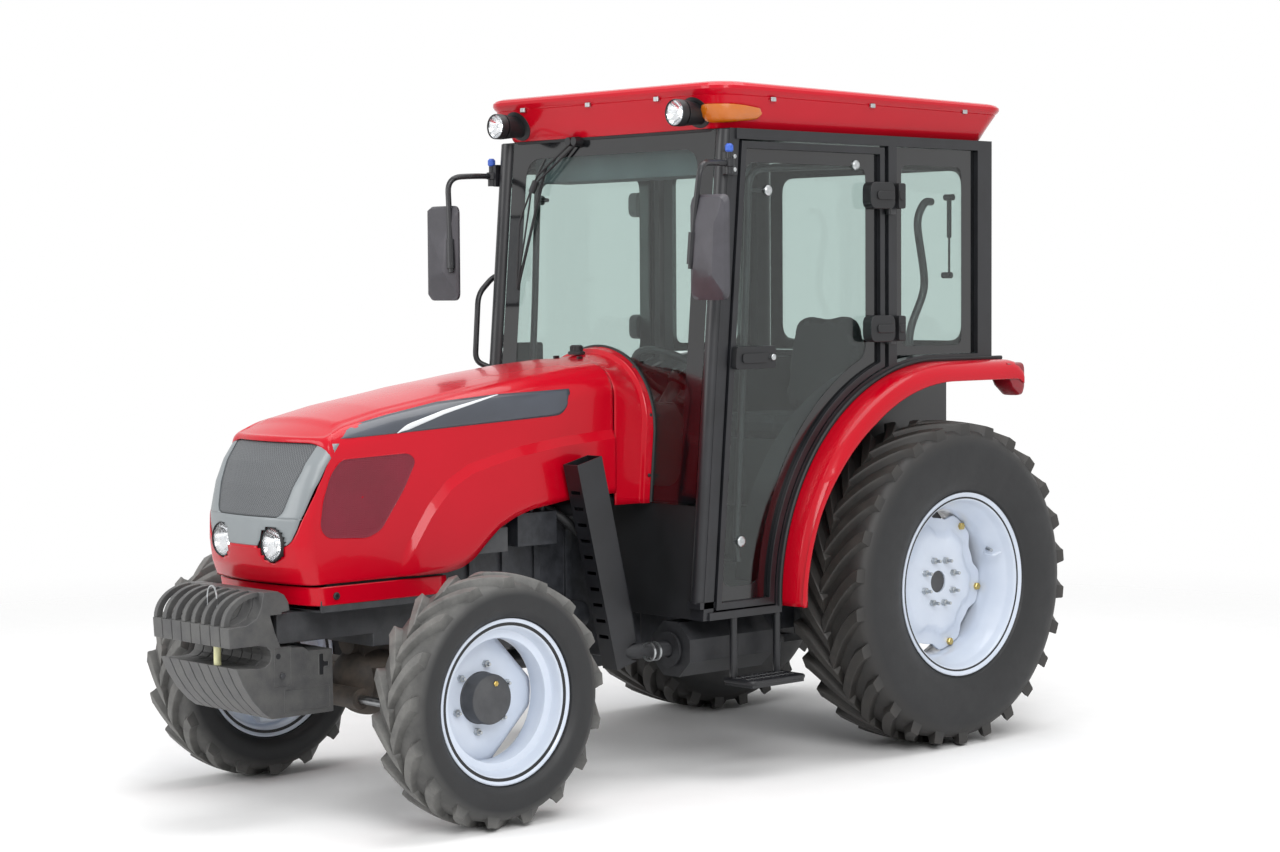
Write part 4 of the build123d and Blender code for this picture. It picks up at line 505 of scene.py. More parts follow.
def lug(side, angle, half, tread, tip, lead, widths, shoulder):
    """One lug: stations run from the middle (s=0) to the shoulder (s=1). The path's angle lags behind
    the middle by lead*(1-s)^1.35. The top follows the tip radius, a little lower at the shoulder; the
    foot lies just inside the carcass, and drops to the shoulder radius at the outer end."""
    s = np.linspace(0, 1, 13)
    x = side * half * (-0.04 + 1.0 * s)
    a = angle + lead * (1 - s) ** 1.35
    top = tip - 0.009 * s ** 2
    foot = tread - 0.006 - (tread - 0.006 - shoulder) * np.clip((s - 0.62) / 0.38, 0, 1) ** 2
    wt = (widths[0] + (widths[1] - widths[0]) * s) / 2
    wb = wt + 0.013 + 0.006 * s
    slope = np.gradient(a, s) * tip / half
    lean = 1 / np.sqrt(1 + slope ** 2)
    share = arr(-1, -0.5, 0, 0.12, 0.88, 1, 1, 0.88, 0.12, 0, -0.5, -1)
    span = np.stack([-wb - 0.004, -wb, -(wt * 0.35 + wb * 0.65), -wt - 0.002, -wt, -wt + 0.003,
                     wt - 0.003, wt, wt + 0.002, wt * 0.35 + wb * 0.65, wb, wb + 0.004], 1)
    height = arr(0, 0, 0.25, 0.75, 0.93, 1.0, 1.0, 0.93, 0.75, 0.25, 0, 0)
    r = foot[:, None] + (top - foot)[:, None] * height
    along = a[:, None] + span / lean[:, None] / tip * 0.9
    P = np.stack([np.broadcast_to(x[:, None], r.shape), r * np.cos(along), r * np.sin(along)], -1)
    return closed(P, flip=side > 0)


def tyre_shapes(centre_x, y, z, half, bead, rim_radius, tread, tip, count, first, lead, widths, side):
    """Carcass and lugs of one tyre. first is the angle, from +Y towards up, of a lug's outer end."""
    wide = rim_radius + (tread - rim_radius) * arr(0.02, 0.05, 0.10, 0.15, 0.24, 0.36, 0.5, 0.64, 0.76, 0.86, 0.93, 0.98)
    offset = bead + (half - bead) * arr(0.0, 0.3, 0.42, 0.66, 0.84, 0.97, 1.0, 0.95, 0.82, 0.55, 0.18, -0.45)
    outer = np.stack([offset, wide], 1)
    ribs = arr([bead - 0.018, rim_radius - 0.022], [bead - 0.001, rim_radius - 0.022], [bead - 0.001, rim_radius - 0.002])
    middle = arr([half * 0.5, tread + 0.001], [half * 0.25, tread + 0.003])
    right = np.concatenate([ribs, outer, middle])
    profile = np.concatenate([right, [[0, tread + 0.004]], right[::-1] * arr(-1, 1)])
    shapes = [ring_of(profile + arr(centre_x, 0), (0, y, z), 96)]
    pitch = tau / count
    for k in range(count):
        for hand, shift in ((side, 0.0), (-side, 0.5)):
            V, F = lug(hand, np.radians(first) + (k + shift) * pitch, half * 0.93, tread, tip, lead, widths,
                       rim_radius + (tread - rim_radius) * 0.62)
            shapes.append((V + arr(centre_x, y, z), F))
    return shapes


for side, hand in ((1, "left"), (-1, "right")):
    rear = tyre_shapes(side * 0.5915, REAR_Y, REAR_Z, 0.1725, 0.1465, 0.3305, 0.557, 0.587, 26, 61.7, 0.33,
                       (0.032, 0.046), side)
    piece(f"rear_tyre_{hand}_with_lugs", f"rear_wheel_{hand}", (rear_rubber, rear), replaces=(f"rear_tyre_{hand}",))
    front = tyre_shapes(side * 0.6225, FRONT_Y, FRONT_Z, 0.106, 0.0775, 0.257, 0.370, 0.394, 17, 26.2, 0.36,
                        (0.026, 0.038), side)
    piece(f"front_tyre_{hand}_with_lugs", f"front_wheel_{hand}", (front_rubber, front), replaces=(f"front_tyre_{hand}",))
print("lugs:", 4 * 26 + 4 * 17)

# %% [markdown]
# ## Rims and discs
# A steel rim is rolled from strip: a curled flange, a seat for the tyre's bead, and a well. The disc
# is pressed and welded or bolted inside it. The rear disc has six lobes that bolt to brackets on the
# rim; the front disc is a plate clipped to eight sides. White enamel shows every roll as soft shade.

# %% Rims


def rim_shape(centre_x, y, z, width, flange, wall, side):
    """Rolled rim: outer half profile mirrored to the inner, over a given inner profile under it. wall is not used."""
    h = width / 2
    right = arr([h, flange - 0.004], [h - 0.002, flange], [h - 0.006, flange], [h - 0.009, flange - 0.006],
                [h - 0.011, flange - 0.020], [h - 0.016, flange - 0.025], [h - 0.036, flange - 0.028],
                [h - 0.044, flange - 0.034], [h * 0.42, flange - 0.058], [h * 0.30, flange - 0.062])
    inner = arr([h * 0.30, flange - 0.067], [h * 0.42, flange - 0.063], [h - 0.046, flange - 0.040],
                [h - 0.036, flange - 0.034], [h - 0.018, flange - 0.031], [h - 0.010, flange - 0.026],
                [h - 0.006, flange - 0.012], [h - 0.002, flange - 0.009])
    top = np.concatenate([right, right[::-1] * arr(-1, 1)])
    under = np.concatenate([inner[::-1] * arr(-1, 1), inner])
    profile = np.concatenate([top, under])
    return ring_of(profile + arr(centre_x, 0), (0, y, z), 96)


def lobed_disc(face, y, z, side, radius_of, dish, thickness, bore, steps=144):
    """Disc whose outer radius is a function of the angle; dish lists (share of the radius, depth)."""
    a = np.arange(steps) / steps * tau
    share, depth = np.asarray(dish, float).T
    R = radius_of(a)
    r = bore + (R[None, :] - bore) * share[:, None]
    front = np.stack([np.broadcast_to(face - side * depth[:, None], r.shape), r * np.cos(a), r * np.sin(a)], -1)
    back = front[::-1] - arr(side * thickness, 0, 0)
    P = np.concatenate([front, back, front[:1]]) + arr(0, y, z)
    n, m = P.shape[:2]
    V, F = grid(P, True, flip=side < 0)
    return V, F


def nut(x, y, z, side, radius, height, stud=0.0, steps=6):
    """Hexagon nut with a stud's end, on a wheel disc that faces side."""
    prof = [(0, radius), (height * 0.85, radius), (height, radius * 0.86)]
    shapes = [lathe(arr(*prof) * arr(side, 1), (x, y, z), steps)]
    if stud:
        pin = [(0, radius * 0.5), (height + stud - 0.002, radius * 0.5), (height + stud, radius * 0.38)]
        shapes.append(lathe(arr(*pin) * arr(side, 1), (x, y, z), 12))
    return shapes


def facing(shapes, side):
    """Lathed shapes turned towards -X come out inside out, so their faces are turned round."""
    return shapes if side > 0 else [(V, [f[:, ::-1] for f in F]) for V, F in shapes]


def polar(radius, degrees, y, z):
    """Point on a circle about an axle; degrees run from +Y towards up."""
    t = np.radians(degrees)
    return y + radius * np.cos(t), z + radius * np.sin(t)


for side, hand in ((1, "left"), (-1, "right")):
    body = f"rear_wheel_{hand}"
    rim = [rim_shape(side * 0.5915, REAR_Y, REAR_Z, 0.305, 0.3305, 0.006, side)]
    face = side * (0.744 - 0.122)

    def lobes(a):
        """Six lobes: the radius swings between 230 and 260 mm, with flattened tops."""
        swing = np.clip(np.cos(6 * (a - np.radians(-8.9))) * 2.2 + 0.45, -1, 1)
        return 0.245 + 0.015 * swing

    disc = lobed_disc(face, REAR_Y, REAR_Z, side, lobes, [(0, 0), (0.30, 0.0), (0.58, 0.001), (0.66, 0.006), (0.74, 0.018),
                      (0.80, 0.024), (0.99, 0.024), (1.0, 0.026)], 0.009, 0.040)
    brackets, bolts = [], []
    for k in range(6):
        t = np.radians(-8.9 + 60 * k)
        turn_k = spin(t)
        tab = box((face - side * 0.046, 0.225, -0.030), (face - side * 0.034, 0.278, 0.030))
        brackets.append(moved(tab, (0, REAR_Y, REAR_Z), turn_k))
        y, z = polar(0.245, -8.9 + 60 * k, REAR_Y, REAR_Z)
        bolts += facing(nut(face - side * 0.026, y, z, side, 0.014, 0.014), side)
    studs = []
    for k in range(8):
        y, z = polar(0.083, 22.5 + 45 * k - 3, REAR_Y, REAR_Z)
        studs += facing(nut(face, y, z, side, 0.0125, 0.016, 0.022), side)
    piece(f"rear_rim_{hand}_rolled", body, (white_rim, rim + [disc] + brackets), (zinc, bolts), (bright_zinc, studs),
          replaces=(f"rear_rim_{hand}",), sharp=38)
    hub_face = face - side * 0.009
    cup = facing([lathe(arr([-0.03, 0.118], [-0.001, 0.118], [0, 0.112]) * arr(side, 1), (hub_face, REAR_Y, REAR_Z)),
                  lathe(arr([-0.2, 0.045], [0.002, 0.045], [0.004, 0.030]) * arr(side, 1), (hub_face, REAR_Y, REAR_Z), 32)], side)
    valve = pipe(arr((face + side * 0.030, *polar(0.262, 24, REAR_Y, REAR_Z)),
                     (face + side * 0.062, *polar(0.250, 24, REAR_Y, REAR_Z))), 0.006)
    guard = pipe(bent([(face + side * 0.012, *polar(0.268, 21, REAR_Y, REAR_Z)), (face + side * 0.035, *polar(0.238, 21, REAR_Y, REAR_Z)),
                       (face + side * 0.075, *polar(0.238, 21, REAR_Y, REAR_Z)), (face + side * 0.085, *polar(0.268, 21, REAR_Y, REAR_Z))], 0.01),
                 0.005, 8)
    piece(f"rear_hub_{hand}_flange", body, (chassis_grey, cup), (bright_zinc, [valve]), (white_rim, [guard]),
          replaces=(f"rear_hub_{hand}",))

    body = f"front_wheel_{hand}"
    rim = [rim_shape(side * 0.6225, FRONT_Y, FRONT_Z, 0.165, 0.257, 0.005, side)]
    face = side * (0.705 - 0.128)

    def clipped(a):
        """Disc of radius 211 mm clipped by four flats, 178 mm from the middle."""
        near = np.mod(a - np.radians(44) + np.pi / 4, np.pi / 2) - np.pi / 4
        return np.minimum(0.211, 0.178 / np.cos(near))

    disc = lobed_disc(face, FRONT_Y, FRONT_Z, side, clipped, [(0, 0), (0.4, 0), (0.82, 0.001), (0.9, 0.004), (0.98, 0.010),
                      (1.0, 0.012)], 0.008, 0.070)
    tabs = []
    for k in range(4):
        tabs.append(moved(box((face - side * 0.018, 0.168, -0.034), (face - side * 0.008, 0.206, 0.034)),
                          (0, FRONT_Y, FRONT_Z), spin(np.radians(-1 + 90 * k))))
    nuts = []
    for k in range(6):
        y, z = polar(0.106, 20 + 60 * k, FRONT_Y, FRONT_Z)
        nuts += facing(nut(face, y, z, side, 0.012, 0.014, 0.012), side)
    piece(f"front_rim_{hand}_rolled", body, (white_rim, rim + [disc] + tabs), (bright_zinc, nuts),
          replaces=(f"front_rim_{hand}",), sharp=38)
    cap = arr([-0.020, 0.082], [0.004, 0.082], [0.006, 0.080], [0.050, 0.0785], [0.0555, 0.076], [0.058, 0.071], [0.058, 0.050])
    stub = arr([-0.080, 0.038], [-0.035, 0.038], [-0.035, 0.124], [-0.010, 0.124], [-0.009, 0.120])
    hub = facing([lathe(cap * arr(side, 1), (face, FRONT_Y, FRONT_Z), 64),
                  lathe(stub * arr(side, 1), (face, FRONT_Y, FRONT_Z), 48)], side)
    plug = facing(nut(face + side * 0.057, *polar(0.05, 75, FRONT_Y, FRONT_Z), side, 0.009, 0.006), side)
    piece(f"front_hub_{hand}_cap", body, (chassis_grey, hub), (zinc, plug), replaces=(f"front_hub_{hand}",), sharp=30)
# %% [markdown]
# ## The hood
# The hood is one long pressing: straight sides, a rounded shoulder, a gently crowned top with a
# raised middle, and a nose that bows forward and leans back. Over each front wheel a flare stands
# proud of the side under a bevelled crease. I work it out as one sheet: rows run from the lower edge
# up the wall, round the shoulder and in to the middle, columns from the nose back to the seam.

# %% The hood's measured curves
SEAM = 1.286
SPINE_END = 2.26


def hood_top(d):
    """Height of the hood's middle line, d metres ahead of the rear axle."""
    return through(d, [(2.60, 1.186), (2.49, 1.198), (2.44, 1.222), (2.37, 1.252), (2.2, 1.290), (2.0, 1.322),
                       (1.884, 1.342), (1.6, 1.380), (1.4, 1.404), (1.286, 1.413)], 2)


def hood_low(d):
    """Lower edge of the hood's side, with the arch over the front wheel."""
    return through(d, [(2.65, 0.750), (2.164, 0.752), (2.001, 0.753), (1.94, 0.765), (1.892, 0.790), (1.84, 0.838),
                       (1.787, 0.882), (1.72, 0.913), (1.652, 0.934), (1.498, 0.956), (1.316, 0.966), (1.28, 0.967)], 3)


def hood_crease(d):
    """Foot of the bevelled crease over the wheel."""
    return through(d, [(2.65, 0.762), (2.19, 0.762), (2.15, 0.800), (2.114, 0.862), (2.056, 0.945), (1.984, 1.018),
                       (1.896, 1.066), (1.718, 1.108), (1.52, 1.136), (1.307, 1.152), (1.28, 1.153)], 3)


def hood_half(d):
    """Half width of the hood at its straight side."""
    return through(d, [(2.65, 0.269), (2.3, 0.273), (1.884, 0.279), (1.28, 0.286)])


def hood_shoulder(d):
    """Radius of the shoulder between side and top."""
    return through(d, [(2.65, 0.050), (2.42, 0.062), (1.884, 0.086), (1.28, 0.105)])


def nose(z):
    """How far ahead the nose's middle lies at height z."""
    return through(z, [(0.70, 2.562), (0.75, 2.572), (0.80, 2.590), (0.87, 2.600), (0.95, 2.597), (1.05, 2.572),
                       (1.12, 2.541), (1.19, 2.490), (1.25, 2.43)], 2)


def hood_height(x, d):
    """Height of the hood's top at a plan point: the middle line, less a 14 mm crown, plus a raised
    middle panel 190 mm to each side."""
    panel = 0.0035 * np.clip((0.196 - np.abs(x)) / 0.008, 0, 1) * np.clip((2.40 - d) / 0.03, 0, 1)
    return hood_top(d) - 0.014 * (np.abs(x) / 0.2) ** 2 + panel


CORNER = 0.055
BOW = 0.049
first_turn = np.arctan(2 * BOW * 0.215 / 0.264 ** 2)
reach = 0.269 - CORNER * (1 - np.sin(first_turn))


def nose_wall(s, z):
    """Plan point (x, ahead) at path length s from the middle of the nose, at height z: a bowed front,
    then an arc round the corner up to the side."""
    turning = np.clip((s - reach) / CORNER + first_turn, first_turn, np.pi / 2)
    x = np.minimum(s, reach) + CORNER * (np.sin(turning) - np.sin(first_turn))
    front = nose(z) - BOW * (np.minimum(s, reach) / 0.264) ** 2
    return x, front - CORNER * (np.cos(first_turn) - np.cos(turning))


corner_end = reach + CORNER * (np.pi / 2 - first_turn)


def window_edge(z):
    """Path length to the edge of the grille's opening, which narrows towards the lamps."""
    return through(z, [(0.846, 0.01), (0.852, 0.10), (0.860, 0.165), (0.868, 0.194), (0.885, 0.217), (0.925, 0.238),
                       (0.975, 0.256), (1.03, 0.270), (1.07, 0.281), (1.13, 0.289), (1.20, 0.290)])


# %% One sheet for half of the hood
FRONT_COLS, EDGE_COLS, SIDE_COLS = 16, 12, 96
t_side = np.linspace(0, 1, SIDE_COLS) ** 0.92
WINDOW_LOW = 0.866


def hood_sheet():
    """Left half of the hood as rows by columns, and where its grille window lies."""
    d_side = 2.47 - (2.47 - SEAM) * t_side
    shoulder = hood_shoulder(d_side)
    top_side = hood_height(hood_half(d_side) - shoulder, d_side) - shoulder
    low_side, crease = hood_low(d_side), hood_crease(d_side)
    bands = [np.linspace(0, 1, 10)[:-1], np.linspace(0, 1, 6)[:-1], np.linspace(0, 1, 26)]
    bevel_top = crease + 0.030
    z_side = np.concatenate([low_side + np.outer(bands[0], crease - low_side),
                             crease + np.outer(bands[1], bevel_top - crease),
                             bevel_top + np.outer(bands[2], top_side - bevel_top)])
    rows = len(z_side)
    # nose rows: a fixed set of heights, with one row on the lower edge of the window
    first = z_side[:, 0]
    low_row = 17
    z_nose = np.concatenate([np.linspace(0.750, WINDOW_LOW, low_row), np.linspace(WINDOW_LOW, 1.184, rows - low_row + 1)[1:]])
    # columns at the nose: middle to window edge, window edge to the corner's end
    edge = window_edge(np.maximum(z_nose, WINDOW_LOW))[:, None]
    s = np.concatenate([edge * np.linspace(0, 1, FRONT_COLS), edge + (corner_end - edge) * np.linspace(0, 1, EDGE_COLS)[1:]], 1)
    mix = np.clip((s - 0.18) / (corner_end - 0.18), 0, 1) ** 2
    z = z_nose[:, None] * (1 - mix) + first[:, None] * mix
    x, d = nose_wall(s, z)
    front = np.stack([x, ahead(d), z], -1)
    # side columns
    d_end = nose_wall(corner_end, z_side[:, :1])[1]
    d_all = d_end - (d_end - SEAM) * t_side[None, :]
    proud = 0.016 * np.clip((2.19 - d_all) / 0.06, 0, 1) * np.clip((crease + 0.030 - z_side) / 0.030, 0, 1)
    tuck = 0.004 * np.clip((low_side + 0.012 - z_side) / 0.012, 0, 1) ** 2
    x_side = hood_half(d_all) + proud - tuck
    x_side = x_side + (0.269 - hood_half(d_all)) * np.clip(1 - t_side * 12, 0, 1)
    side = np.stack([x_side, ahead(d_all), z_side], -1)
    wall = np.concatenate([front, side[:, 1:]], 1)
    # shoulder and top
    A = wall[-1]
    spine = np.stack([np.zeros(len(A)), np.maximum(A[:, 1], ahead(SPINE_END)), A[:, 2]], 1)
    spine[:, 1] = np.minimum(spine[:, 1], ahead(SEAM))
    inward = (spine - A)[:, :2]
    inward /= np.linalg.norm(inward, axis=1, keepdims=True)
    radius = np.full(A.shape[0], 0.012)
    k = FRONT_COLS + EDGE_COLS - 1
    radius[:k] = 0.012 + (hood_shoulder(2.47) - 0.012) * np.clip((s[-1] - 0.16) / (corner_end - 0.16), 0, 1) ** 2
    radius[k:] = hood_shoulder(2.47 - (2.47 - SEAM) * t_side)[1:]
    theta = np.linspace(0, np.pi / 2, 10)[1:, None]
    away = radius * (1 - np.cos(theta))
    plan = A[None, :, :2] + away[..., None] * inward
    edge_z = A[:, 2] + radius * np.sin(theta)
    meet = hood_height(plan[-1, :, 0], REAR_Y - plan[-1, :, 1])
    edge_z = A[:, 2] + (meet - A[:, 2]) * np.sin(theta)
    bend = np.concatenate([plan, edge_z[..., None]], -1)
    w = np.linspace(0, 1, 30)[1:, None, None]
    cap_plan = bend[-1:, :, :2] * (1 - w) + spine[None, :, :2] * w
    cap = np.concatenate([cap_plan, hood_height(cap_plan[..., 0], REAR_Y - cap_plan[..., 1])[..., None]], -1)
    return np.concatenate([wall, bend, cap]), rows, low_row


P, wall_rows, low_row = hood_sheet()
V, (quads,) = grid(P)
cols = P.shape[1]
row_of, col_of = quads.min(1) // cols, quads.min(1) % cols
in_window = (col_of < FRONT_COLS - 1) & (row_of >= low_row - 1) & (row_of < wall_rows - 1)
centre = V[quads].mean(1)
lamp_gap = np.hypot(centre[:, 0] - 0.135, centre[:, 2] - 0.873) < 0.056
in_lamp = lamp_gap & (centre[:, 1] < ahead(2.5))
left_half = (V, [quads[~(in_window | in_lamp)][:, ::-1]])
hood_piece = piece("hood_pressing", "hood", (red_enamel, [left_half, mirrored(left_half)]), replaces=("hood",), sharp=24)


def weld(made, distance=0.0004, thickness=0.0):
    """Joins the halves along the middle, and gives the sheet its metal's thickness inwards."""
    work = bmesh.new()
    work.from_mesh(made.data)
    bmesh.ops.remove_doubles(work, verts=work.verts, dist=distance)
    bmesh.ops.recalc_face_normals(work, faces=work.faces)
    work.to_mesh(made.data)
    work.free()
    made.data.set_sharp_from_angle(angle=np.radians(24))
    if thickness:
        wall = made.modifiers.new("metal", "SOLIDIFY")
        wall.thickness, wall.offset = thickness, -1
    return made


def outward(made, direction, where):
    """Turns all faces round if the face nearest to a point looks against direction."""
    mesh = made.data
    count = len(mesh.polygons)
    centre, normal = np.zeros(count * 3), np.zeros(count * 3)
    mesh.polygons.foreach_get("center", centre)
    mesh.polygons.foreach_get("normal", normal)
    near = np.linalg.norm(centre.reshape(-1, 3) - np.asarray(where, float), axis=1).argmin()
    if normal.reshape(-1, 3)[near] @ np.asarray(direction, float) < 0:
        mesh.flip_normals()
    return made


outward(weld(hood_piece, thickness=0.005), (0, 0, 1), (0, ahead(1.8), 1.36))
print("hood faces:", len(hood_piece.data.polygons))

# %% [markdown]
# ## The hinge arms under the hood
# Two bent arms carry the hood round the cowl's edge to its pins. The CAD has them on the hood, and
# the new sheet leaves them out, so they come back here as bent round bars.

# %% Hinge arms
arms = []
hinge_y, hinge_z = ahead(1.236), 1.398
for side in (1, -1):
    path = bent([(side * 0.052, hinge_y, hinge_z), (side * 0.052, hinge_y, hinge_z - 0.050),
                 (side * 0.052, ahead(1.336) + 0.008, hinge_z - 0.050), (side * 0.052, ahead(1.336) + 0.008, 1.396)], 0.01)
    arms.append(pipe(path, 0.008, 8, hint=(1, 0, 0)))
    arms.append(moved(lathe([(-0.004, 0.0095), (0.004, 0.0095)], (side * 0.052, hinge_y, hinge_z), 24)))
piece("hood_hinge_arms", "hood", (black_powder, arms))

# %% [markdown]
# ## Grille
# The grille is a grey moulded surround that fills the window in the nose, with a darker mesh insert
# set into it. Both follow the nose: they use the same wall, set back a few millimetres.

# %% Grille surround and insert


def nose_patch(edge_of, z_low, z_high, back, cols=15, rows=40, round_low=0.0):
    """Sheet on the nose between two heights, out to a path length edge_of(z), set back by back metres."""
    z = np.linspace(z_low, z_high, rows)[:, None]
    s = edge_of(z) * np.linspace(-1, 1, 2 * cols + 1)
    x, d = nose_wall(np.abs(s), np.broadcast_to(z, s.shape))
    return np.stack([np.sign(s) * x, ahead(d - back), np.broadcast_to(z, s.shape)], -1)


def insert_edge(z):
    """Path length to the insert's edge; its lower corners are rounded."""
    flank = through(z, [(0.95, 0.172), (1.02, 0.190), (1.10, 0.210), (1.19, 0.219)])
    lift = np.clip((0.985 - z) / 0.030, 0, 1)
    return flank - 0.030 * (1 - np.sqrt(1 - np.clip(lift, 0, 1) ** 2))


def surround_edge(z):
    return window_edge(z) - 0.002


# surround: two flanks beside the insert and an apron below it
rows = 46
z = np.linspace(0.956, 1.1835, rows)[:, None]
flanks = []
t = np.linspace(0, 1, 9)[None, :]
s = insert_edge(z) + (surround_edge(z) - insert_edge(z)) * t
x, d = nose_wall(s, np.broadcast_to(z, s.shape))
puff = 0.004 * np.sin(np.pi * t) ** 0.5
flank = np.stack([x, ahead(d - 0.003 + puff), np.broadcast_to(z, s.shape)], -1)
flank = np.concatenate([flank[:, :1] + arr(0, 0.010, 0), flank], 1)
flanks.append(grid(flank, flip=True))
flanks.append(mirrored(flanks[0]))
apron = nose_patch(surround_edge, WINDOW_LOW, 0.956, 0.002, rows=26)
centre_s = np.abs(apron[..., 0])
apron_shape = grid(apron, flip=True)
keep = apron_shape[1][0]
mid = apron_shape[0][keep].mean(1)
keep = keep[np.hypot(np.abs(mid[:, 0]) - 0.135, mid[:, 2] - 0.873) > 0.056]
lip_z = apron[-1:]
lip = np.concatenate([lip_z, lip_z + arr(0, 0.010, 0)])
surround = piece("grille_surround", "hood", (surround_grey, flanks + [(apron_shape[0], [keep]), grid(lip, flip=True)]),
                 replaces=("grille",), sharp=40)
outward(weld(surround, 0.0002, 0.003), (0, -1, 0), (0, ahead(2.6), 0.91))

# %% [markdown]
# The insert is black expanded mesh. Its openings are about 4 mm in truth, and are drawn 7 mm wide so
# that they show. Each opening is pressed in by a bump and painted a darker grey, which is painted shade.

# %% Mesh insert
mesh_dark, mesh_out = start("expanded_mesh_black")
where = place(mesh_dark, (1, 0.0, 1), (0, np.pi / 4, 0))
cells = put(mesh_dark, "TexVoronoi", {"Scale": 1000 / 7.0, "Randomness": 0.12, "feature": "DISTANCE_TO_EDGE"},
            {"Vector": where.outputs[0]})
# the openings' darker grey is painted shade; the same mask presses them in by a bump
opening_depth_and_shade = put(mesh_dark, "MapRange", {"From Min": 0.06, "From Max": 0.22}, {"Value": cells.outputs["Distance"]})
tint = put(mesh_dark, "Mix", {"data_type": "RGBA", 6: linear("#6a6d70"), 7: linear("#4b4e51")},
           {0: opening_depth_and_shade.outputs["Result"]})
deep = put(mesh_dark, "Bump", {"Strength": 0.8, "Distance": 0.0015, "invert": True}, {"Height": opening_depth_and_shade.outputs["Result"]})
shade = put(mesh_dark, "BsdfPrincipled", {"Roughness": 0.5}, {"Base Color": tint.outputs[2], "Normal": deep.outputs[0]})
finish(mesh_dark, mesh_out, shade)

screen = nose_patch(insert_edge, 0.957, 1.183, 0.006, cols=14, rows=40)
insert = piece("grille_insert", "hood", (mesh_dark, [grid(screen, flip=True)]), sharp=50)
weld(insert, 0.0001, 0.003)
outward(insert, (0, -1, 0), (0, ahead(2.58), 1.05))

# %% [markdown]
# ## Headlamps
# Each headlamp is a chromed bowl behind a clear dome, in a black ring. The bowl is a paraboloid,
# which is why a lamp looks bright at one side and dark at the other.

# %% Headlamps
clear_lens, lens_out = start("clear_lamp_glass")
where = place(clear_lens)
flute = put(clear_lens, "TexWave", {"Scale": 1000 / 24, "Distortion": 0.0, "bands_direction": "X"}, {"Vector": where.outputs[0]})
raised = put(clear_lens, "Bump", {"Strength": 0.35, "Distance": 0.0008}, {"Height": flute.outputs["Fac"]})
shade = put(clear_lens, "BsdfPrincipled", {"Base Color": (1, 1, 1, 1), "Roughness": 0.03, "Transmission Weight": 1.0, "IOR": 1.3},
            {"Normal": raised.outputs[0]})
finish(clear_lens, lens_out, shade)


def round_lamp(x, y, z, radius, depth, tilt=0.0):
    """Bowl, lens and ring of a lamp that faces -Y, with its rim at y."""
    r = np.linspace(0.12, 1, 9) * radius * 0.93
    bowl = np.stack([depth * (1 - (r / (radius * 0.93)) ** 2), r], 1)
    dome_r = np.linspace(0.02, 1, 9) * radius * 0.93
    dome = np.stack([-0.16 * radius * (1 - (dome_r / (radius * 0.93)) ** 2) ** 0.7, dome_r], 1)
    bowl_shell = np.concatenate([bowl, (bowl + arr(0.002, 0))[::-1]])
    lens_shell = np.concatenate([dome, (dome + arr(0.0025, 0))[::-1]])
    ring = arr([0.004, radius * 0.92], [-0.003, radius * 0.93], [-0.005, radius * 0.97], [-0.002, radius], [depth * 0.8, radius],
               [depth * 0.8, radius * 0.95])
    bulb = arr([depth * 0.95, 0.012], [depth * 0.5, 0.012], [depth * 0.42, 0.006])
    at = (x, y, z)
    return (ring_of(bowl_shell, at, 48, 1), ring_of(lens_shell, at, 48, 1), ring_of(ring, at, 48, 1), lathe(bulb, at, 16, 1))


lamps = [round_lamp(side * 0.135, ahead(2.579), 0.873, 0.0555, 0.040) for side in (1, -1)]
head = piece("headlamps_round", "hood", (chrome, [l[0] for l in lamps] + [l[3] for l in lamps]),
             (clear_lens, [l[1] for l in lamps]), (soft_black, [l[2] for l in lamps]), replaces=("headlamps",))
print("nose done")

# %% [markdown]
# ## Trim on the hood's side
# A dark stripe tapers forward along the shoulder, cut by a pale swoosh, and a dark red screen lets air
# out beside the radiator. Both lie on the hood's own surface: a height on the side gives a point on
# the wall, or on the shoulder's arc above it.

# %% Side trim


def on_side(d, z, proud=0.0008):
    """Point on the hood's left side at height z, on the flat wall or on the shoulder's arc."""
    r = hood_shoulder(d)
    edge = hood_height(hood_half(d) - r, d) - r
    rise = np.clip((z - edge) / r, 0, 0.999)
    flat = hood_half(d) + (0.269 - hood_half(d)) * np.clip(1 - (2.47 - d) / 1.184 * 12, 0, 1)
    x = np.where(z > edge, flat - r + r * np.sqrt(1 - rise ** 2), flat)
    tilt = np.where(z > edge, rise, 0)
    return np.stack([x + proud * np.sqrt(1 - tilt ** 2), ahead(d), z + proud * tilt], -1)


def strip(d0, d1, upper, lower, proud, across=9, along=60):
    """Sheet on the hood's side between an upper and a lower curve."""
    d = np.linspace(d0, d1, along)[:, None]
    share = np.linspace(0, 1, across)[None, :]
    z = lower(d) + (upper(d) - lower(d)) * share
    return grid(on_side(np.broadcast_to(d, z.shape), z, proud))


def stripe_top(d):
    return through(d, [(2.425, 1.197), (2.367, 1.232), (2.2, 1.266), (2.005, 1.298), (1.786, 1.315), (1.475, 1.325)])


def stripe_low(d):
    slant = np.clip((d - 1.475) / 0.06, 0, 1)
    low = through(d, [(2.425, 1.1965), (2.40, 1.198), (2.148, 1.209), (1.561, 1.237), (1.475, 1.243)])
    return stripe_top(d) - (stripe_top(d) - low) * np.sqrt(slant * (2 - slant)) - 0.0005


decal = mottled("dark_stripe_film", ("#3c4048", "#434852"), 300, (0.3, 0.36), coat=0.3)
pale_film = mottled("pale_stripe_film", ("#d7dade", "#e2e4e7"), 300, (0.35, 0.4))


def swoosh_mid(d):
    """Middle of the pale swoosh, which climbs from the stripe's lower edge to its upper edge."""
    share = np.clip((2.19 - d) / 0.42, 0, 1)
    return stripe_low(d) + (stripe_top(d) - stripe_low(d)) * (0.02 + 0.96 * share ** 0.62)


def swoosh_width(d):
    return 0.009 * np.clip((2.20 - d) / 0.05, 0, 1) * (1 - np.clip((2.19 - d) / 0.44, 0, 1)) ** 0.8 + 0.0004


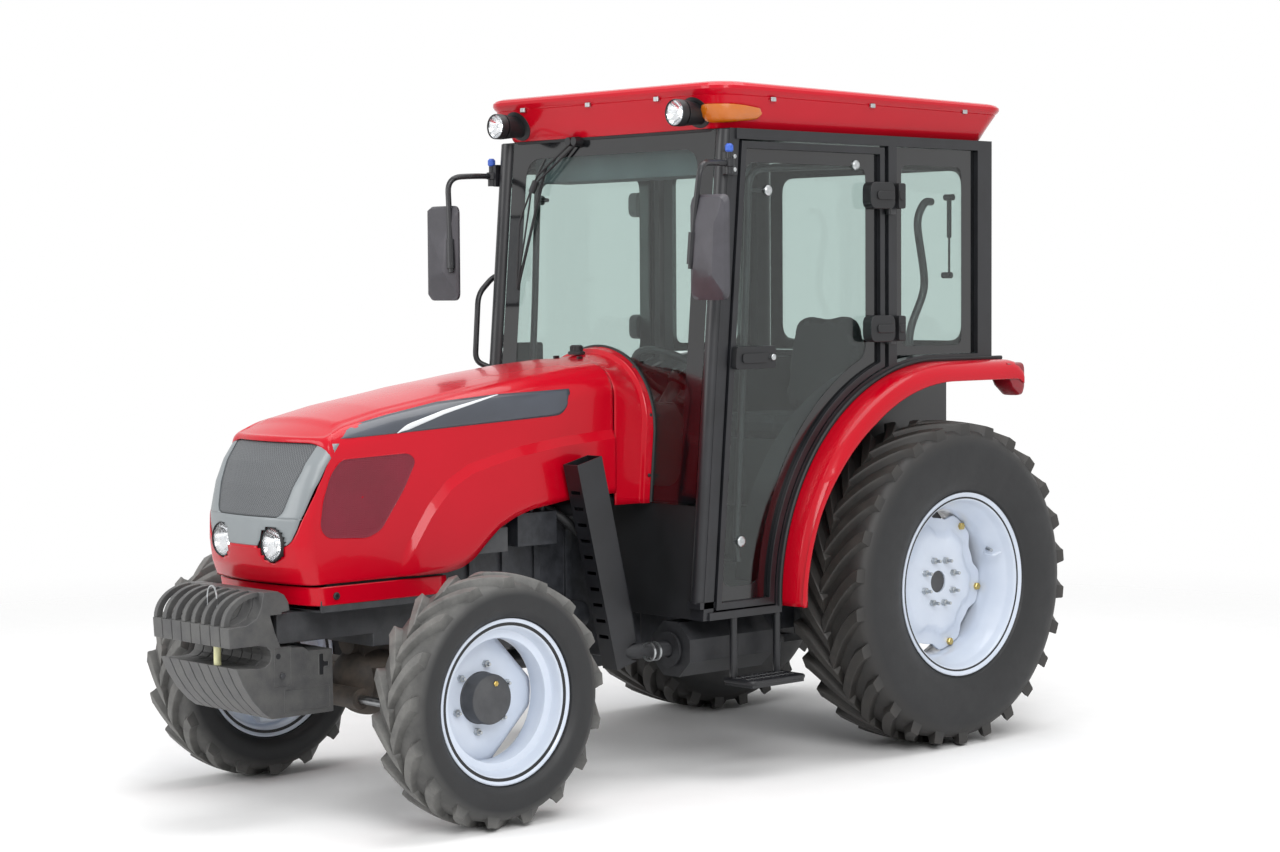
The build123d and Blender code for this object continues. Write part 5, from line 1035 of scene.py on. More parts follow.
stripe = strip(2.422, 1.476, stripe_top, stripe_low, 0.0009)
swoosh = strip(2.195, 1.77, lambda d: np.minimum(swoosh_mid(d) + swoosh_width(d), stripe_top(d)),
               lambda d: np.maximum(swoosh_mid(d) - swoosh_width(d), stripe_low(d)), 0.0016, 4)
film = piece("side_stripes", "hood", (decal, [stripe, mirrored(stripe)]), (pale_film, [swoosh, mirrored(swoosh)]), sharp=60)
weld(film, 0.00005, 0.0006)
outward(film, (1, 0, 0), (0.3, ahead(2.0), 1.25))

# %% Side screens


def soft_outline(points, radius, steps=6):
    """Closed outline with its corners rounded by parabolas."""
    P = np.asarray(points, float)
    before, after = np.roll(P, 1, 0), np.roll(P, -1, 0)
    t = np.linspace(0, 1, steps + 1)[:, None]
    out = []
    for a, b, c in zip(before, P, after):
        p = b + (a - b) * min(radius / np.linalg.norm(a - b), 0.48)
        q = b + (c - b) * min(radius / np.linalg.norm(c - b), 0.48)
        out.append((1 - t) ** 2 * p + 2 * t * (1 - t) * b + t ** 2 * q)
    return np.concatenate(out)


screen_edge = soft_outline([(2.482, 1.010), (2.452, 1.090), (2.412, 1.134), (2.150, 1.143), (2.122, 1.118), (2.17, 1.03),
                            (2.262, 0.905), (2.315, 0.884), (2.468, 0.892), (2.495, 0.925)], 0.022)
middle = screen_edge.mean(0)
share = np.concatenate([np.linspace(0.02, 0.975, 12), [0.99, 1.0]])
plan = middle + (screen_edge - middle)[None] * share[:, None, None]
depth = np.where(share > 0.995, 0.0004, np.where(share > 0.98, 0.0022, 0.0012))[:, None]
P = on_side(plan[..., 0], plan[..., 1], 0.0)
P[..., 0] += depth
holes = mottled("dark_red_screen", ("#6e0a22", "#780d28"), 200, (0.42, 0.5))
tree = holes.node_tree
shader = next(n for n in tree.nodes if n.bl_idname == "ShaderNodeBsdfPrincipled")
where = place(holes, (0.2, 1, 1))
dots = put(holes, "TexVoronoi", {"Scale": 1000 / 6.0, "Randomness": 0.0}, {"Vector": where.outputs[0]})
pit = put(holes, "MapRange", {"From Min": 0.25, "From Max": 0.4}, {"Value": dots.outputs["Distance"]})
sink = put(holes, "Bump", {"Strength": 0.7, "Distance": 0.001}, {"Height": pit.outputs["Result"]})
tree.links.new(sink.outputs[0], shader.inputs["Normal"])
net = grid(P, wrap=True)
rim = pipe(np.concatenate([on_side(screen_edge[:, 0], screen_edge[:, 1], 0.0006), on_side(screen_edge[:1, 0], screen_edge[:1, 1], 0.0006)]), 0.0013, 6)
nets = piece("side_screens_net", "hood", (holes, [net, mirrored(net)]), (red_enamel, [rim, mirrored(rim)]), sharp=60)
for half in (nets,):
    outward(half, (1, 0, 0), (0.28, ahead(2.3), 1.0))
print("trim done")
# %% [markdown]
# ## Cowl
# The cowl starts as the hood's own section and grows into a round arch against the leaning windscreen,
# where a raised lip holds the seal. I blend the two sections along its length.

# %% Cowl, its lip and the seal


def screen_ahead(z):
    """How far ahead the windscreen's front face lies at height z."""
    return 1.160 - 0.0842 * (z - 0.600)


def arch_section(v, half, top, shoulder, crown, low=0.925, split=0.78):
    """(x, z) along half an arch: wall up to v=0.45, shoulder to v=split, then the cap to the middle."""
    wall_top = top - crown - shoulder
    rise = np.clip(v / 0.45, 0, 1)
    turn = np.clip((v - 0.45) / (split - 0.45), 0, 1) * np.pi / 2
    cap = np.clip((v - split) / max(1 - split, 1e-6), 0, 1)
    x = half - shoulder * (1 - np.cos(turn)) - (half - shoulder) * cap
    z = low + (wall_top - low) * rise + shoulder * np.sin(turn) + crown * (1 - (1 - cap) ** 2)
    return x, z


v = np.concatenate([np.linspace(0, 0.45, 14)[:-1], np.linspace(0.45, 1, 50)])[:, None]
t = np.concatenate([np.linspace(0, 0.70, 14), np.linspace(0.72, 1, 22)])[None, :]
x0, z0 = arch_section(v, 0.286, hood_top(1.281), hood_shoulder(1.281), 0.014)
x1, z1 = arch_section(v, 0.294, 1.442, 0.294, 0.0, split=1.0)
bulge = 0.014 * np.clip((t - 0.72) / 0.07, 0, 1) ** 2 * (3 - 2 * np.clip((t - 0.72) / 0.07, 0, 1))
bulge = bulge - 0.008 * np.clip((t - 0.955) / 0.045, 0, 1) ** 2
easing = t ** 1.25
x, z = x0 + (x1 - x0) * easing, z0 + (z1 - z0) * easing
nx, nz = np.gradient(z, axis=0), -np.gradient(x, axis=0)
size = np.hypot(nx, nz)
x, z = x + bulge * nx / size, z + bulge * nz / size
d = 1.280 + (screen_ahead(z) + 0.001 - 1.280) * t
half_cowl = grid(np.stack([x, ahead(d), z], -1))
cowl_piece = piece("cowl_pressing", "root", (red_enamel, [half_cowl, mirrored(half_cowl)]), replaces=("cowl",), sharp=30)
outward(weld(cowl_piece, thickness=0.005), (0, 0, 1), (0, ahead(1.25), 1.43))

around = np.linspace(0, np.pi, 49)
legs = np.linspace(0.928, 1.146, 8)
path_x = np.concatenate([np.full(8, 0.308), 0.308 * np.cos(around), np.full(8, -0.308)])
path_z = np.concatenate([legs, 1.148 + 0.308 * np.sin(around), legs[::-1]])
seal = pipe(np.stack([path_x, ahead(screen_ahead(path_z) + 0.003), path_z], -1), 0.006, 8)
pins = [lathe([(side * 0.050, 0.006), (side * 0.066, 0.006)], (0, ahead(1.236), 1.398), 16) for side in (1, -1)]
ears = [box((side * 0.0565, ahead(1.246), 1.386), (side * 0.066, ahead(1.226), 1.425)) for side in (1, -1)]
piece("cowl_seal", "root", (hose_rubber, [seal]), (black_powder, pins + ears))

cap = [(0.0, 0.030), (0.010, 0.030), (0.012, 0.026), (0.012, 0.022), (0.030, 0.021), (0.034, 0.017), (0.034, 0.008)]
filler = lathe(cap, (-0.020, ahead(1.178), 1.428), 24, 2)
ridges = [moved(box((-0.0235, -0.0022, 0.013), (0.0235, 0.0022, 0.030)), (-0.020, ahead(1.178), 1.428), spin(k * tau / 12, 2))
          for k in range(6)]
piece("radiator_filler_cap", "root", (soft_black, [filler] + ridges), sharp=30, bevel=0.0008)
screws = []
for side in (1, -1):
    for height, out in ((1.02, 0.3085), (1.225, 0.299), (1.385, 0.196)):
        where = (side * out, ahead(screen_ahead(height) + 0.018), height)
        level = 0 if height < 1.2 else (0.35 if height < 1.3 else 0.9)
        head = lathe([(0, 0.0065), (0.003, 0.0060), (0.0045, 0.003)], (0, 0, 0), 12)
        turned = head[0] @ spin(-level, 1).T
        shape = (turned * arr(side, 1, 1) + arr(*where), head[1] if side > 0 else [f[:, ::-1] for f in head[1]])
        screws.append(shape)
piece("cowl_screws", "root", (soft_black, screws))
print("cowl done")

# %% [markdown]
# ## Fascia under the hood
# A fixed red band below the hood's nose hides the frame's front. It follows the nose 20 mm further
# back and carries one black screw on each side.

# %% Fascia
z = np.concatenate([[0.6845, 0.6845], np.linspace(0.687, 0.740, 8), [0.7425, 0.7425]])[:, None]
inset = np.array([0.012, 0.002] + [0.0] * 8 + [0.002, 0.012])[:, None]
s = np.broadcast_to(np.linspace(0, corner_end, 40), (12, 40))
x, d = nose_wall(s, np.broadcast_to(z, (12, 40)))
back = 0.020 + inset
front = np.stack([x - inset, ahead(d - back * np.cos(np.linspace(0, np.pi / 2, 40))[None, :] ** 0.5), np.broadcast_to(z, x.shape)], -1)
run = np.linspace(0, 1, 16)[None, 1:]
d_side = (d[:, -1:] - 0.0) - (d[:, -1:] - 2.0) * run
side_sheet = np.stack([np.broadcast_to(0.269 - inset, d_side.shape), ahead(d_side), np.broadcast_to(z, d_side.shape)], -1)
half_fascia = grid(np.concatenate([front, side_sheet], 1), flip=True)
shelf = box((-0.262, ahead(2.49), 0.6625), (0.262, ahead(1.965), 0.669))
flange = [box((side * 0.265, ahead(2.49), 0.6625), (side * 0.258, ahead(2.0), 0.700)) for side in (1, -1)]
fascia = piece("nose_fascia", "root", (red_enamel, [half_fascia, mirrored(half_fascia)]), sharp=30)
outward(weld(fascia, thickness=0.004), (1, 0, 0), (0.27, ahead(2.2), 0.71))
piece("nose_shelf", "root", (chassis_grey, [shelf] + flange), replaces=("front_fascia",), bevel=0.001)
# dark strips behind the seam stand for the shade under the hood, so daylight doesn't show through there
blinds = [box((side * 0.247, ahead(2.46), 0.690), (side * 0.252, ahead(2.00), 0.772)) for side in (1, -1)]
piece("nose_gap_shade_strips", "root", (hose_rubber, blinds))
knob = arr([0, 0.012], [0.004, 0.012], [0.006, 0.009], [0.006, 0.005], [0.002, 0.004])
knobs = [lathe(knob, (0.269, ahead(2.435), 0.712), 20)]
piece("fascia_screws", "root", (soft_black, knobs + [mirrored(k) for k in knobs]))

# %% [markdown]
# ## Roof
# The roof is a moulded cap whose sides lean outwards to a seam just under its rounded rim. Two work
# lamps sit in wells at the front corners, with amber indicators wrapped round the corners. Round each lamp a black
# sheet on the roof's face is painted shade of its recess.

# %% Roof cap
ROOF_MID, ROOF_HALF_LENGTH, ROOF_CORNER = ahead(0.346), 0.688, 0.080


def roof_ring(grow, steps=12):
    """Rounded rectangle in plan, out by grow from the roof's lower edge, as (x, y) points."""
    hx, hy, r = 0.566 + grow, ROOF_HALF_LENGTH + grow, np.maximum(ROOF_CORNER + grow * 0.4, 0.01)
    points = []
    for quarter in range(4):
        a = np.pi / 2 * quarter + np.linspace(0, np.pi / 2, steps)
        sx, sy = (1, 1) if quarter == 0 else (-1, 1) if quarter == 1 else (-1, -1) if quarter == 2 else (1, -1)
        points.append(np.stack([sx * (hx - r) + r * np.cos(a), ROOF_MID + sy * (hy - r) + r * np.sin(a)], 1))
    return np.concatenate(points)


levels = arr((-0.012, 2.1965), (-0.004, 2.1925), (0.000, 2.194), (0.0045, 2.200), (0.020, 2.236), (0.038, 2.274), (0.0495, 2.2975),
             (0.0512, 2.3005), (0.0495, 2.3020), (0.0512, 2.3040), (0.0580, 2.3120), (0.0625, 2.3220), (0.0620, 2.3320),
             (0.0540, 2.3410), (0.0400, 2.3465), (0.010, 2.3505), (-0.10, 2.3545), (-0.25, 2.3570), (-0.42, 2.3580), (-0.54, 2.3583))
rings = []
for grow, z in levels:
    plan = roof_ring(grow)
    if grow < -0.05:
        plan = roof_ring(0.0) * 0 + arr(0, ROOF_MID) + (roof_ring(0.0) - arr(0, ROOF_MID)) * (1 + grow / 0.566)
    fall = 0.020 * (plan[:, 1] - ROOF_MID + ROOF_HALF_LENGTH) / (2 * ROOF_HALF_LENGTH) * np.clip((z - 2.195) / 0.15, 0, 1)
    rings.append(np.concatenate([plan, (z - fall)[:, None]], 1))
P = np.stack(rings)
V, F = grid(P, wrap=True)
top_cap = [(len(P) - 1) * P.shape[1] + np.arange(P.shape[1])[None, ::-1]]
roof_piece = piece("roof_cap", "root", (red_enamel, [(V, F + top_cap)]), replaces=("roof",), sharp=28)
outward(weld(roof_piece, thickness=0.006), (0, 0, 1), (0, ROOF_MID, 2.358))
clips = []
for x in (-0.40, -0.05, 0.30):
    clips.append(box((x - 0.012, ahead(1.034 + 0.0505), 2.293), (x + 0.012, ahead(1.034 + 0.060), 2.309)))
for y in (0.85, 0.35, -0.15):
    for side in (1, -1):
        clips.append(box((side * (0.566 + 0.0505), ahead(y) - 0.012, 2.285), (side * (0.566 + 0.0590), ahead(y) + 0.012, 2.300)))
piece("roof_clips", "root", (bright_zinc, clips), bevel=0.002)
rim = roof_ring(-0.010)
rim = np.concatenate([rim, rim[:1]])
gasket = pipe(np.concatenate([rim, np.full((len(rim), 1), 2.190)], 1), 0.009, 8)
piece("roof_seal", "root", (hose_rubber, [gasket]))

# %% Work lamps and indicators
amber, amber_out = start("amber_lens")
where = place(amber)
flute = put(amber, "TexWave", {"Scale": 1000 / 9, "bands_direction": "Z"}, {"Vector": where.outputs[0]})
raised = put(amber, "Bump", {"Strength": 0.4, "Distance": 0.001}, {"Height": flute.outputs["Fac"]})
shade = put(amber, "BsdfPrincipled", {"Base Color": linear("#c96a04"), "Roughness": 0.12, "Coat Weight": 0.6},
            {"Normal": raised.outputs[0]})
finish(amber, amber_out, shade)

for side, hand in ((1, "left"), (-1, "right")):
    x, y, z = side * 0.467, ahead(1.162), 2.243
    bowl, lens, ring, bulb = round_lamp(x, y, z, 0.0455, 0.030)
    can = lathe(arr([0.031, 0.0445], [0.034, 0.0445], [0.10, 0.036], [0.115, 0.036]), (x, y, z), 32, 1)
    # a black sheet round the lamp, a little proud of the roof's face: painted shade of the recess that the lamp sits in
    well_a = np.linspace(0, tau, 41)[:-1]
    rows = []
    for share, proud in ((1.0, -0.004), (0.97, 0.0012), (0.80, 0.0015), (0.5, 0.0015), (0.1, 0.0015)):
        wx, wz = x - side * 0.004 + 0.062 * share * np.cos(well_a), z + 0.004 + 0.052 * share * np.sin(well_a)
        lean = (wz - 2.194) * 0.47
        rows.append(np.stack([wx, ahead(1.034 + lean) - proud - 0.002, wz], -1))
    painted_recess_shade = closed(np.stack(rows))
    lamp = piece(f"work_lamp_{hand}", "root", (chrome, [bowl, bulb]), (clear_lens, [lens]), (soft_black, [ring, can, painted_recess_shade]),
                 replaces=("work_lamps",), sharp=35)

    # indicator: a lens that follows the roof's corner, tapering rearwards
    along = np.linspace(0, 1, 26)
    grow_mid = 0.0235
    hx, hy = 0.566 + grow_mid, ROOF_HALF_LENGTH + grow_mid
    r = ROOF_CORNER + grow_mid * 0.4
    arc_len = r * np.pi / 2
    lengths = 0.002 + arc_len + 0.080
    s = along * lengths
    turn = np.clip((s - 0.002) / r, 0, np.pi / 2)
    px = hx - r - np.clip(0.002 - s, 0, None) + r * np.sin(turn)
    py = -(hy - r) - r * np.cos(turn) + np.clip(s - 0.002 - arc_len, 0, None)
    nx, ny = np.sin(turn), -np.cos(turn)
    tall = 0.031 * (1 - 0.42 * np.clip((along - 0.35) / 0.65, 0, 1) ** 1.3)
    tall = tall * np.sqrt(np.clip(1 - np.clip((along - 0.93) / 0.07, 0, 1) ** 2, 0.08, 1)) * np.sqrt(np.clip(along / 0.05, 0.12, 1))
    profile = arr((-1.05, -0.012), (-1.0, 0.004), (-0.92, 0.011), (-0.6, 0.014), (0, 0.015), (0.6, 0.014), (0.92, 0.011), (1.0, 0.004), (1.05, -0.012))
    zz = 2.243 + tall[:, None] * profile[None, :, 0]
    out = profile[None, :, 1] + (zz - 2.243) * 0.40
    Q = np.stack([px[:, None] + nx[:, None] * out, ROOF_MID + py[:, None] + ny[:, None] * out, zz], -1)
    lens_shape = closed(Q)
    if side < 0:
        lens_shape = mirrored(lens_shape)
    signal = piece(f"indicator_{hand}", "root", (amber, [lens_shape]), replaces=("signal_lamps",), sharp=40)
    outward(signal, (side, -1, 0), (side * 0.62, ahead(1.08), 2.243))
print("roof done")

# %% [markdown]
# ## Fenders
# A fender is a strip bent over the rear wheel. Its outer edge rolls down over the tyre, a little more
# at the top than at the foot, and the strip then runs flat to the lamp behind. The section is a list
# of (x, radius) points, swept round the axle and on along the flat.

# %% Fenders and rear lamps
dark_red_plastic = mottled("dark_red_moulding", ("#7c0717", "#8a0a1c"), 200, (0.3, 0.4), coat=0.3)
red_lens = mottled("red_lamp_lens", ("#b30a12", "#c2121a"), 60, (0.08, 0.15), coat=0.8, bump=0.3, bump_grain=4)
angle = np.radians(np.linspace(181.3, 90, 64))
lip = through(181.3 - np.degrees(angle), [(0, 0.786), (25, 0.768), (38, 0.750), (55, 0.734), (92, 0.730)], 3)
flat_run = np.linspace(0, 0.380, 22)[1:]
centre_y = np.concatenate([np.full(64, REAR_Y), REAR_Y + flat_run])
theta = np.concatenate([angle, np.full(21, np.pi / 2)])
lip = np.concatenate([lip, np.full(21, 0.730)])
drop = np.clip(np.concatenate([np.zeros(64), flat_run]) - 0.345, 0, None) ** 2 * 12
section_x = arr(0.6005, 0.6005, 0.606, 0.640, 0.662, 0.680, 0.693, 0.703, 0.709, 0.712, 0.712, 0.7105)
section_r = arr(0.770, 0.796, 0.800, 0.8005, 0.7995, 0.7955, 0.789, 0.779, 0.767, 0.754)
radius = np.concatenate([np.broadcast_to(section_r[:10], (85, 10)), (lip + 0.004)[:, None], lip[:, None]], 1)
radius[:, 9] = np.maximum(lip + 0.012, 0.754)
radius[:, 8] = np.maximum(lip + 0.020, 0.767)
radius = radius - drop[:, None]
P = np.stack([np.broadcast_to(section_x, radius.shape), centre_y[:, None] + radius * np.cos(theta)[:, None],
              REAR_Z + radius * np.sin(theta)[:, None]], -1)
end_lip = P[-1:] + arr(0, 0.004, -0.004)
end_low = end_lip.copy()
end_low[..., 2] = np.minimum(end_low[..., 2], REAR_Z + 0.742)
strip_shape = grid(np.concatenate([P, end_lip, end_low]))
fender = piece("fender_strips", "root", (red_enamel, [strip_shape, mirrored(strip_shape)]), replaces=("fenders",), sharp=35)
outward(weld(fender, thickness=0.004), (0, 0, 1), (0.64, REAR_Y, REAR_Z + 0.8))
edge = np.stack([np.full(85, 0.603), centre_y + 0.806 * np.cos(theta), REAR_Z + 0.806 * np.sin(theta)], -1)
strip_seal = pipe(edge, 0.008, 8)
piece("fender_seals", "root", (hose_rubber, [strip_seal, mirrored(strip_seal)]))
lamp_rows = []
for share, y in ((0.0, 0.300), (0.3, 0.305), (0.7, 0.330), (1.0, 0.372), (1.0, 0.385), (0.9, 0.390)):
    half, low, high = 0.044 + 0.006 * share, REAR_Z + 0.782 - 0.105 * share - 0.01, REAR_Z + 0.790
    a = np.linspace(0, tau, 33)[:-1]
    cx, cz = 0.656, (low + high) / 2
    box_x = half * np.sign(np.cos(a)) * np.abs(np.cos(a)) ** 0.4
    box_z = (high - low) / 2 * np.sign(np.sin(a)) * np.abs(np.sin(a)) ** 0.4
    lamp_rows.append(np.stack([cx + box_x, np.full(32, REAR_Y + y), cz + box_z], -1))
house = closed(np.stack(lamp_rows))
glass_rows = [(np.stack(lamp_rows)[-1] - arr(0.656, 0, lamp_rows[-1][:, 2].mean())) * arr(k, 1, k) + arr(0.656, o, lamp_rows[-1][:, 2].mean())
              for k, o in ((0.90, -0.002), (0.88, 0.003), (0.60, 0.005), (0.1, 0.006))]
lens_shape = closed(np.stack(glass_rows))
tail = piece("tail_lamps", "root", (dark_red_plastic, [house, mirrored(house)]), (red_lens, [lens_shape, mirrored(lens_shape)]),
             replaces=("rear_lamps",), sharp=40)
weld(tail, 0.00001)
dressed("wheel_houses", black_powder, 0.001)
print("fenders done")

# %% [markdown]
# ## Glass with a printed edge
# Every pane is a plate of lightly tinted glass. Through two panes the white sky turns a cool grey
# green. A black band with round inner corners is printed along each edge, where the glue sits.

# %% Glass
tinted, tinted_out = start("tinted_cab_glass")
shade = put(tinted, "BsdfPrincipled", {"Base Color": linear("#d3dfdc"), "Roughness": 0.0, "Transmission Weight": 1.0,
                                       "IOR": 1.42})
lit = put(tinted, "BsdfTransparent", {"Color": linear("#cfdbd9")})
ray = put(tinted, "LightPath")
both = put(tinted, "MixShader", links={0: ray.outputs["Is Shadow Ray"], 1: shade.outputs[0], 2: lit.outputs[0]})
finish(tinted, tinted_out, both)
for node in ("windscreen", "cab_windows", "door_glass_left", "door_glass_right"):
    dressed(node, tinted, 0.0)

edge_print = mottled("black_printed_edge", ("#0b0c0e", "#111316"), 200, (0.10, 0.18), coat=0.5)


def band(outer, inner, space, thick=0.0006):
    """A thin flat frame between two outlines of equally many points; space places them at a height."""
    rows = [space(outer, 0.0002), space(outer, thick), space(inner, thick), space(inner, 0.0002)]
    return grid(np.stack(rows + rows[:1]), wrap=True)


def on_screen(O, high):
    """(x, z) on the windscreen's plane, high metres in front of it."""
    return np.stack([O[:, 0], ahead(screen_ahead(O[:, 1]) + high), O[:, 1]], -1)


def rectangle(a, b, c, d, radius):
    """Round-cornered outline between a..b and c..d."""
    return soft_outline([(a, c), (b, c), (b, d), (a, d)], radius)


def door_edge(front, top, rear, arc, low, radius=0.03):
    """Outline (y, z) of the door's glass, set in by a width on each side. Its rear edge ends in an arc
    about the rear axle."""
    z_top, z_low, d_rear, r = 2.126 - top, 0.601 + low, 0.286 + rear, 0.854 + arc
    a = np.linspace(np.arccos(d_rear / r), np.arcsin((z_low - REAR_Z) / r), 14)
    curve = np.stack([r * np.cos(a), REAR_Z + r * np.sin(a)], -1)
    corners = [(screen_ahead(z_low) - 0.076 - front, z_low), (screen_ahead(z_top) - 0.076 - front, z_top), (d_rear, z_top)]
    O = soft_outline(np.concatenate([arr(*corners), curve]), radius)
    O[:, 0] = ahead(O[:, 0])
    return O


def beside(x):
    """Space of a pane that faces sideways at x, seen from the left."""
    return lambda O, high: np.stack([np.full(len(O), x + high), O[:, 0], O[:, 1]], -1)


screen_band = band(rectangle(-0.524, 0.524, 0.932, 2.188, 0.012), rectangle(-0.446, 0.446, 0.985, 2.128, 0.075), on_screen)
rear_band = band(rectangle(-0.528, 0.528, 1.413, 2.154, 0.012), rectangle(-0.462, 0.462, 1.455, 2.09, 0.06),
                 lambda O, high: np.stack([O[:, 0], np.full(len(O), ahead(-0.318) + high), O[:, 1]], -1))
side_band = band(rectangle(ahead(0.197), ahead(-0.249), 1.413, 2.155, 0.010),
                 rectangle(ahead(0.155), ahead(-0.176), 1.444, 2.093, 0.034), beside(0.582))
bands = piece("printed_window_edges", "root", (edge_print, [screen_band, rear_band, side_band, mirrored(side_band)]), sharp=60)
weld(bands, 0.00001)
door_band = band(door_edge(0, 0, 0, 0, 0, 0.012), door_edge(0.014, 0.045, 0.062, 0.045, 0.05, 0.045), beside(0.584))
for hand, shape in (("left", door_band), ("right", mirrored(door_band))):
    weld(piece("printed_door_edge_" + hand, "door_" + hand, (edge_print, [shape]), sharp=60), 0.00001)
print("glass done")

# %% [markdown]
# ## Frame, doors and their fittings
# The posts and door frames are the CAD's, with rounded edges. A round tube stands in front of each
# front post. Each door has two covered hinges behind, and a latch box low down in front.

# %% Cab frame and doors
dressed("cab_frame", black_powder, 0.006)
dressed("cab_walls", soft_black, 0.002)
dressed("cab_floor", soft_black, 0.002)
dressed("roof_liner", cab_grey, 0.012)
for hand in ("left", "right"):
    dressed("door_" + hand, black_powder, 0.007)

post_z = np.linspace(0.60, 2.186, 12)
post = np.stack([np.full(12, 0.561), ahead(screen_ahead(post_z) - 0.008), post_z], -1)
posts = pipe(post, 0.030, 28)
foot_pad = box((0.530, ahead(1.178), 0.585), (0.592, ahead(1.098), 0.607))
foot_bolt = lathe(arr([0.607, 0.010], [0.616, 0.010], [0.617, 0.008]), (0.561, ahead(1.168), 0), 6, 2)
piece("front_post_tubes", "root", (black_powder, [posts, mirrored(posts), foot_pad, mirrored(foot_pad)]),
      (bright_zinc, [foot_bolt, mirrored(foot_bolt)]), sharp=40)

for z in (1.933, 1.463):
    for side, hand in ((1, "left"), (-1, "right")):
        shell = plate(soft_outline([(ahead(0.366), z), (ahead(0.366), z + 0.094), (ahead(0.239), z + 0.094), (ahead(0.239), z)], 0.030),
                      0.586, 0.630)
        ridge = plate(soft_outline([(ahead(0.335), z + 0.032), (ahead(0.335), z + 0.062), (ahead(0.245), z + 0.062),
                                    (ahead(0.245), z + 0.032)], 0.014), 0.629, 0.636)
        tail = plate(soft_outline([(ahead(0.217), z + 0.002), (ahead(0.217), z + 0.092), (ahead(0.180), z + 0.092), (ahead(0.180), z + 0.002)],
                                  0.010), 0.590, 0.628)
        tail_ridge = plate(soft_outline([(ahead(0.216), z + 0.032), (ahead(0.216), z + 0.062), (ahead(0.190), z + 0.062),
                                         (ahead(0.190), z + 0.032)], 0.008), 0.627, 0.634)
        own = [shell, ridge] if side > 0 else [mirrored(shell), mirrored(ridge)]
        fixed = [tail, tail_ridge] if side > 0 else [mirrored(tail), mirrored(tail_ridge)]
        piece(f"hinge_cover_{hand}_{int(z * 100)}", "door_" + hand, (soft_black, own), bevel=0.006, segments=3)
        piece(f"hinge_cover_back_{hand}_{int(z * 100)}", "root", (soft_black, fixed), bevel=0.005, segments=2)

latch = plate(soft_outline([(ahead(1.034), 1.384), (ahead(1.028), 1.460), (ahead(0.842), 1.460), (ahead(0.842), 1.384)], 0.014),
              0.586, 0.622)
pull = plate(soft_outline([(ahead(1.005), 1.404), (ahead(1.005), 1.436), (ahead(0.885), 1.436), (ahead(0.885), 1.404)], 0.012),
             0.621, 0.628)
lock = lathe(arr([0.621, 0.011], [0.632, 0.011], [0.634, 0.009]), (0, ahead(0.862), 1.422), 20)
rail = pipe(bent([(0.545, ahead(0.335), 2.088), (0.545, ahead(0.895), 2.060), (0.545, ahead(0.913), 1.616), (0.545, ahead(0.962), 0.800),
                  (0.552, ahead(0.962), 0.727)], 0.07, 8), 0.0125, 14)
stays, buttons = [], []
for d, d_rail, z in ((0.842, 0.90, 1.987), (0.978, 0.962, 0.80), (0.40, 0.40, 2.085)):
    stays.append(pipe(arr([0.545, ahead(d_rail), z], [0.552, ahead(d), z], [0.578, ahead(d), z]), 0.008, 10))
    buttons.append(lathe(arr([0.584, 0.018], [0.590, 0.018], [0.594, 0.012], [0.594, 0.004]), (0, ahead(d), z), 24))
for side, hand in ((1, "left"), (-1, "right")):
    turned = (lambda shape: shape) if side > 0 else mirrored
    piece("door_fittings_" + hand, "door_" + hand, (soft_black, [turned(latch), turned(pull)]),
          (bright_zinc, [turned(lock)] + [turned(b) for b in buttons]), (black_powder, [turned(rail)] + [turned(s) for s in stays]),
          bevel=0.003)
print("doors done")

# %% [markdown]
# ## Mirrors, wiper and grab rail
# The mirror head is a shell with flat facets: its height over the back plate is the least of a few
# sloping planes. The wiper hangs from the top of the windscreen on two thin arms.

# %% Mirrors


def mirror_head(x, y, z, wide=0.168, tall=0.343, deep=0.044):
    """Shell over a round-cornered outline, faceted, and the flat glass behind it."""
    edge = soft_outline([(-wide / 2, -tall / 2), (wide / 2, -tall / 2), (wide / 2, tall / 2), (-wide / 2, tall / 2)], 0.030, 8)
    share = np.concatenate([np.linspace(0.03, 0.90, 16), [0.95, 1.0]])
    P = edge[None] * share[:, None, None]
    u, v = P[..., 0], P[..., 1]
    planes = [np.full(u.shape, deep), 0.012 + 0.42 * (v + tall / 2), 0.020 + 0.9 * (tall / 2 - v), 0.016 + 0.75 * (wide / 2 - u),
              0.018 + 0.75 * (u + wide / 2), 0.048 - 0.16 * (v - 0.45 * u + 0.02) , 0.030 + 0.34 * (v + 0.35 * u + tall * 0.36)]
    high = np.min(np.stack(planes), axis=0)
    high[-1] = 0.010
    front = np.stack([x + u, y + deep - high, z + v], -1)
    lip = np.stack([x + edge[:, 0] * 1.012, np.full(len(edge), y + deep - 0.008), z + edge[:, 1] * 1.006], -1)
    back = np.stack([x + edge[:, 0] * 1.012, np.full(len(edge), y + deep), z + edge[:, 1] * 1.006], -1)
    shell = closed(np.concatenate([front, lip[None], back[None]]), flip=True)
    inner = edge * 0.94
    glass = plate(np.stack([x + inner[:, 0], z + inner[:, 1]], -1), y + deep - 0.001, y + deep + 0.001, 1)
    return shell, glass


head_y = ahead(1.262)
head, silver = mirror_head(0.694, head_y, 1.790)
knee = (0.660, ahead(1.232), 2.066)
arm = pipe(bent([(0.616, ahead(1.060), 2.072), (0.618, ahead(1.13), 2.072), knee, (0.640, ahead(1.240), 1.90), (0.626, ahead(1.246), 1.72)],
                0.055, 8), 0.0105, 14)
sleeve = pipe(arr([0.634, ahead(1.243), 1.84], [0.627, ahead(1.246), 1.735]), 0.0155, 14)
stub = pipe(arr([0.627, ahead(1.246), 1.76], [0.645, ahead(1.238), 1.76]), 0.009, 10)
foot = plate(soft_outline([(ahead(1.062), 2.034), (ahead(1.062), 2.114), (ahead(1.006), 2.114), (ahead(1.006), 2.034)], 0.006), 0.590, 0.606)
pivot = lathe(arr([2.036, 0.014], [2.060, 0.014], [2.062, 0.019], [2.086, 0.019], [2.088, 0.010], [2.112, 0.010]),
              (0.618, ahead(1.058), 0), 20, 2)
